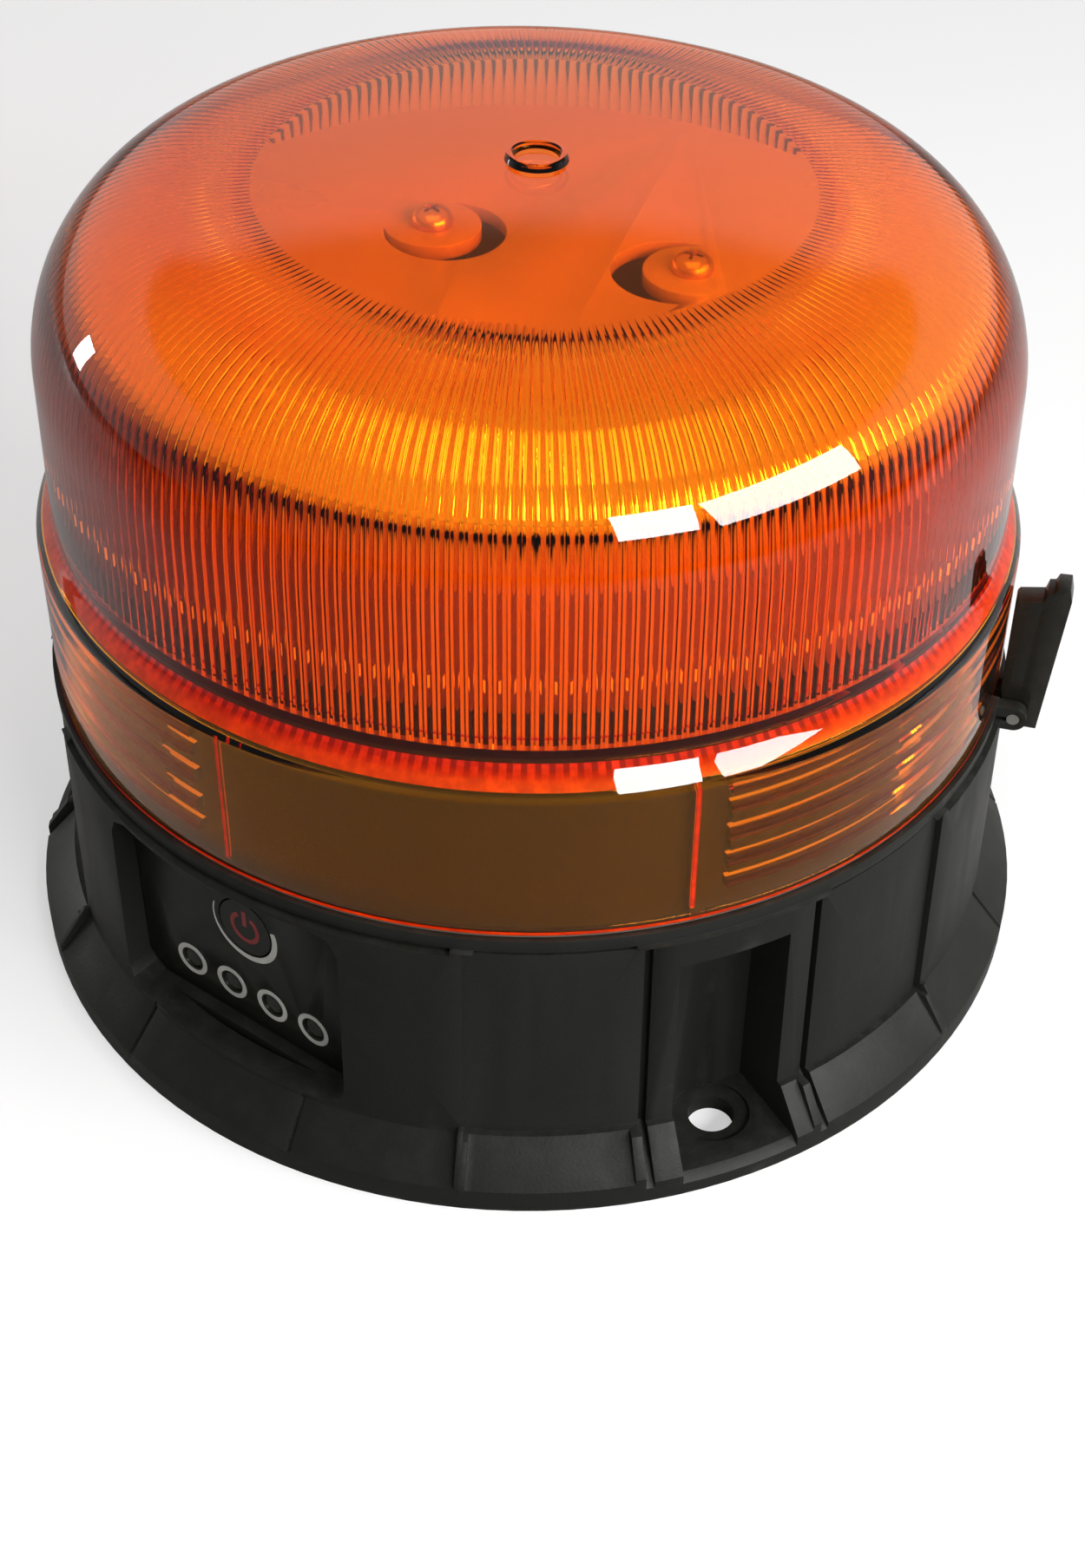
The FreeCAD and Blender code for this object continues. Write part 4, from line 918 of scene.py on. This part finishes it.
class BEACON_OT_fasteners(bpy.types.Operator):
    """Model the carrier screws and the cover screws with their recesses"""
    bl_idname = "beacon.fasteners"
    bl_label = "Fasteners"

    def execute(self, context):
        model = cross_screw("carrier_screw", 2.9, 2.2, 1.15, 10)
        items = []
        for count in range(3):
            item = copied(model, f"carrier_screw_{count}")
            item.data.transform(Matrix.Rotation(math.radians(37 * count), 4, "Z"))
            items.append(stood(item, POST_AZIMUTH + 120 * count, POST_CIRCLE, CARRIER_TOP))
        bpy.data.objects.remove(model)
        screws = merged("carrier_screws_cut", items)
        finished(screws, FINISHES["brass_screw"], "brass_screw", ROOT, "carrier_screws")

        low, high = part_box("cover_screws")
        head = 1.1
        model = cross_screw("cover_screw", 2.5, head, 1.15, 11)
        model.data.transform(Matrix.Rotation(math.radians(180), 4, "X"))
        items = []
        for count in range(6):
            item = copied(model, f"cover_screw_{count}")
            items.append(stood(item, POCKET_AZIMUTH + 30 + 60 * count, COVER_SCREW_CIRCLE,
                               low.z / MM + head))
        bpy.data.objects.remove(model)
        screws = merged("cover_screws_cut", items)
        finished(screws, FINISHES["black_steel"], "black_steel", ROOT, "cover_screws")
        return {"FINISHED"}


class BEACON_OT_leads(bpy.types.Operator):
    """Run the red and the black lead from the header up to the light board"""
    bl_idname = "beacon.leads"
    bl_label = "Leads"

    def execute(self, context):
        for node, slot, route in (("led_lead_red", "lead_red", RED_ROUTE),
                                  ("led_lead_black", "lead_black", BLACK_ROUTE)):
            line = bpy.data.curves.new(f"{slot}_wire", "CURVE")
            line.dimensions = "3D"
            line.bevel_depth = LEAD_RADIUS * MM
            line.bevel_resolution = 4
            line.use_fill_caps = True
            spline = line.splines.new("NURBS")
            spline.points.add(len(route) - 1)
            for point, stop in zip(spline.points, route):
                point.co = (*(Vector(stop) * MM), 1)
            spline.order_u = 3
            spline.use_endpoint_u = True
            spline.resolution_u = 16
            wire = bpy.data.objects.new(f"{slot}_wire", line)
            context.scene.collection.objects.link(wire)
            line.materials.append(FINISHES[slot])
            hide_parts(node)
            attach(wire, ROOT)
        return {"FINISHED"}


class BEACON_OT_chips(bpy.types.Operator):
    """Model one light chip with its recessed lens and set a ring of them round the drum"""
    bl_idname = "beacon.chips"
    bl_label = "Light Chips"

    def execute(self, context):
        low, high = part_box("led_chips")
        middle_height = (low.z + high.z) / 2 / MM
        sunk = 0.45
        deselect()
        bpy.ops.mesh.primitive_cube_add(size=MM)
        model = named("light_chip")
        model.scale = (3.4, 0.86, 2.8)
        bpy.ops.object.transform_apply(location=False, rotation=False, scale=True)
        edit(model, "FACE")
        pick(model, "FACE", lambda face: face.normal.y < -0.9)
        bpy.ops.mesh.inset(thickness=0.35 * MM, depth=0)
        bpy.ops.mesh.inset(thickness=0.12 * MM, depth=-0.14 * MM)
        done()
        model.data.materials.append(FINISHES["led_board_white"])
        model.data.materials.append(FINISHES["led_lens"])
        for face in model.data.polygons:
            lens = face.normal.y < -0.9 and face.center.y > -0.4 * MM
            face.material_index = 1 if lens else 0
        items = [stood(copied(model, f"light_chip_{count}"), count * 360 / LEDS,
                       high.x / MM - sunk, middle_height) for count in range(LEDS)]
        bpy.data.objects.remove(model)
        chips = merged("light_chips", items)
        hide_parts("led_chips")
        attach(chips, ROOT)
        return {"FINISHED"}


class BEACON_OT_stage(bpy.types.Operator):
    """Set the floor, the room, the lights and the camera"""
    bl_idname = "beacon.stage"
    bl_label = "Stage"

    def execute(self, context):
        settings = context.scene.beacon_stage
        self.floor()
        self.room(context, settings)
        self.lights(settings)
        self.camera(context, settings)
        context.scene.view_settings.view_transform = "Standard"
        return {"FINISHED"}

    @staticmethod
    def floor():
        """A pale floor that keeps the shadow, and is clear from below; in reflections it is
        darker in front, a painted shade.
        """
        deselect()
        bpy.ops.mesh.primitive_plane_add(size=6.0, location=(0, 0, -0.05 * MM))
        floor = named("floor")
        material, tree, shader, place = new_material("Pale Floor")
        glow = put(tree, "ShaderNodeEmission", Color=(1, 1, 1, 1), Strength=1.0)
        clear = put(tree, "ShaderNodeBsdfTransparent")
        path = put(tree, "ShaderNodeLightPath")
        seen = looked_at(tree)
        # Painted shade: in reflections the floor turns darker in front of the beacon.
        painted_shade_front = ramp(tree, put(tree, "ShaderNodeSeparateXYZ", Vector=place).outputs["Y"],
                     -0.1, 0.02)
        mirrored = mixed(tree, painted_shade_front, (0.16, 0.16, 0.15, 1), (0.55, 0.55, 0.54, 1))
        tone = mixed(tree, path.outputs["Is Glossy Ray"], (0.5, 0.5, 0.49, 1), mirrored)
        tone = mixed(tree, seen, tone, (0.88, 0.88, 0.88, 1))
        feed(tree, shader, Base_Color=tone, Roughness=0.7, Specular_IOR_Level=0.1)
        lift = math_node(tree, "MULTIPLY", seen, 0.45)
        pale = put(tree, "ShaderNodeMixShader", _0=lift, _1=shader.outputs[0],
                   _2=glow.outputs[0])
        back = put(tree, "ShaderNodeNewGeometry").outputs["Backfacing"]
        both = put(tree, "ShaderNodeMixShader", _0=back, _1=pale.outputs[0],
                   _2=clear.outputs[0])
        tree.links.new(both.outputs[0], output_of(tree).inputs["Surface"])
        floor.data.materials.append(material)

    @staticmethod
    def room(context, settings):
        """Pale walls behind and beside, a dimmer room above and in front."""
        world = bpy.data.worlds.new("Room")
        context.scene.world = world
        world.use_nodes = True
        tree = world.node_tree
        tree.nodes.clear()
        toward = put(tree, "ShaderNodeTexCoord").outputs["Generated"]
        parts = put(tree, "ShaderNodeSeparateXYZ", Vector=toward).outputs
        low = ramp(tree, parts["Z"], 0.5, 0.56, 1.0, 0.0)
        behind = ramp(tree, parts["Y"], -0.45, 0.35)
        wall = math_node(tree, "MULTIPLY", low, behind)
        bright = math_node(tree, "MULTIPLY", wall, settings.wall - settings.ceiling)
        bright = math_node(tree, "ADD", bright, settings.ceiling)
        seen = math_node(tree, "MAXIMUM", bright, looked_at(tree))
        sky = put(tree, "ShaderNodeBackground", Color=(1, 1, 1, 1), Strength=seen)
        output = tree.nodes.new("ShaderNodeOutputWorld")
        tree.links.new(sky.outputs[0], output.inputs["Surface"])

    @staticmethod
    def lights(settings):
        """Panels: (name, azimuth, elevation, distance, width, height, watts, mirrored)."""
        panels = [("window_left", 30.3, 26, 0.9, 0.26, 0.22, settings.window * 0.35, True),
                  ("window_right", 61, 26, 0.9, 0.54, 0.24, settings.window * 0.65, True),
                  ("side_slit", -111, 7, 1.0, 0.08, 0.18, 1.2, True),
                  ("overhead", 10, 78, 0.9, 0.8, 0.8, settings.overhead, False)]
        for name, azimuth, elevation, distance, width, height, watts, mirrored in panels:
            light = bpy.data.lights.new(name, "AREA")
            light.shape = "RECTANGLE"
            light.size, light.size_y = width, height
            light.energy = watts
            holder = bpy.data.objects.new(name, light)
            bpy.context.scene.collection.objects.link(holder)
            turn, rise = math.radians(azimuth), math.radians(elevation)
            toward = Vector((math.sin(turn) * math.cos(rise),
                             -math.cos(turn) * math.cos(rise), math.sin(rise)))
            holder.location = toward * distance + Vector((0, 0, 0.06))
            holder.rotation_euler = toward.to_track_quat("Z", "Y").to_euler()
            holder.visible_glossy = mirrored

    @staticmethod
    def camera(context, settings):
        """A lens 360 mm from a point near the base, rolled a little."""
        rise, roll = settings.camera_height, math.radians(-3.2462)
        back = Vector((0, -math.cos(rise), math.sin(rise)))
        right, up = Vector((1, 0, 0)), Vector((0, math.sin(rise), math.cos(rise)))
        across = math.cos(roll) * right - math.sin(roll) * up
        upright = math.sin(roll) * right + math.cos(roll) * up
        place = Vector((20.1887, 0, 2.5273)) * MM + back * 0.36
        lens = bpy.data.cameras.new("camera")
        lens.sensor_width = 36
        lens.lens = 52.113
        lens.shift_x = -0.07471
        lens.shift_y = 0.03127
        lens.clip_start = 0.01
        holder = bpy.data.objects.new("camera", lens)
        context.scene.collection.objects.link(holder)
        turn = Matrix((across, upright, back)).transposed().to_4x4()
        holder.matrix_world = Matrix.Translation(place) @ turn
        context.scene.camera = holder


class BEACON_PT_panel(bpy.types.Panel):
    """Sizes, colours and steps of the beacon"""
    bl_label = "Warning Beacon"
    bl_idname = "BEACON_PT_panel"
    bl_space_type = "VIEW_3D"
    bl_region_type = "UI"
    bl_category = "Beacon"

    def draw(self, context):
        for group in (context.scene.beacon_dome, context.scene.beacon_finish,
                      context.scene.beacon_stage):
            box = self.layout.box()
            for key in group.__annotations__:
                box.prop(group, key)
        for operator in OPERATORS:
            self.layout.operator(operator.bl_idname)


OPERATORS = (BEACON_OT_finishes, BEACON_OT_leads, BEACON_OT_dome, BEACON_OT_mouldings,
             BEACON_OT_keypad, BEACON_OT_fasteners, BEACON_OT_chips, BEACON_OT_stage)
SETTINGS = (("beacon_dome", BeaconDomeSettings), ("beacon_finish", BeaconFinishSettings),
            ("beacon_stage", BeaconStageSettings))


def register():
    for name, group in SETTINGS:
        bpy.utils.register_class(group)
        setattr(bpy.types.Scene, name, PointerProperty(type=group))
    for item in (*OPERATORS, BEACON_PT_panel):
        bpy.utils.register_class(item)


def unregister():
    for item in (BEACON_PT_panel, *reversed(OPERATORS)):
        bpy.utils.unregister_class(item)
    for name, group in reversed(SETTINGS):
        delattr(bpy.types.Scene, name)
        bpy.utils.unregister_class(group)


def main():
    register()
    bpy.ops.beacon.finishes()
    bpy.ops.beacon.leads()
    bpy.ops.beacon.dome()
    bpy.ops.beacon.mouldings()
    bpy.ops.beacon.keypad()
    bpy.ops.beacon.fasteners()
    bpy.ops.beacon.chips()
    bpy.ops.beacon.stage()


if __name__ == "__main__":
    main()
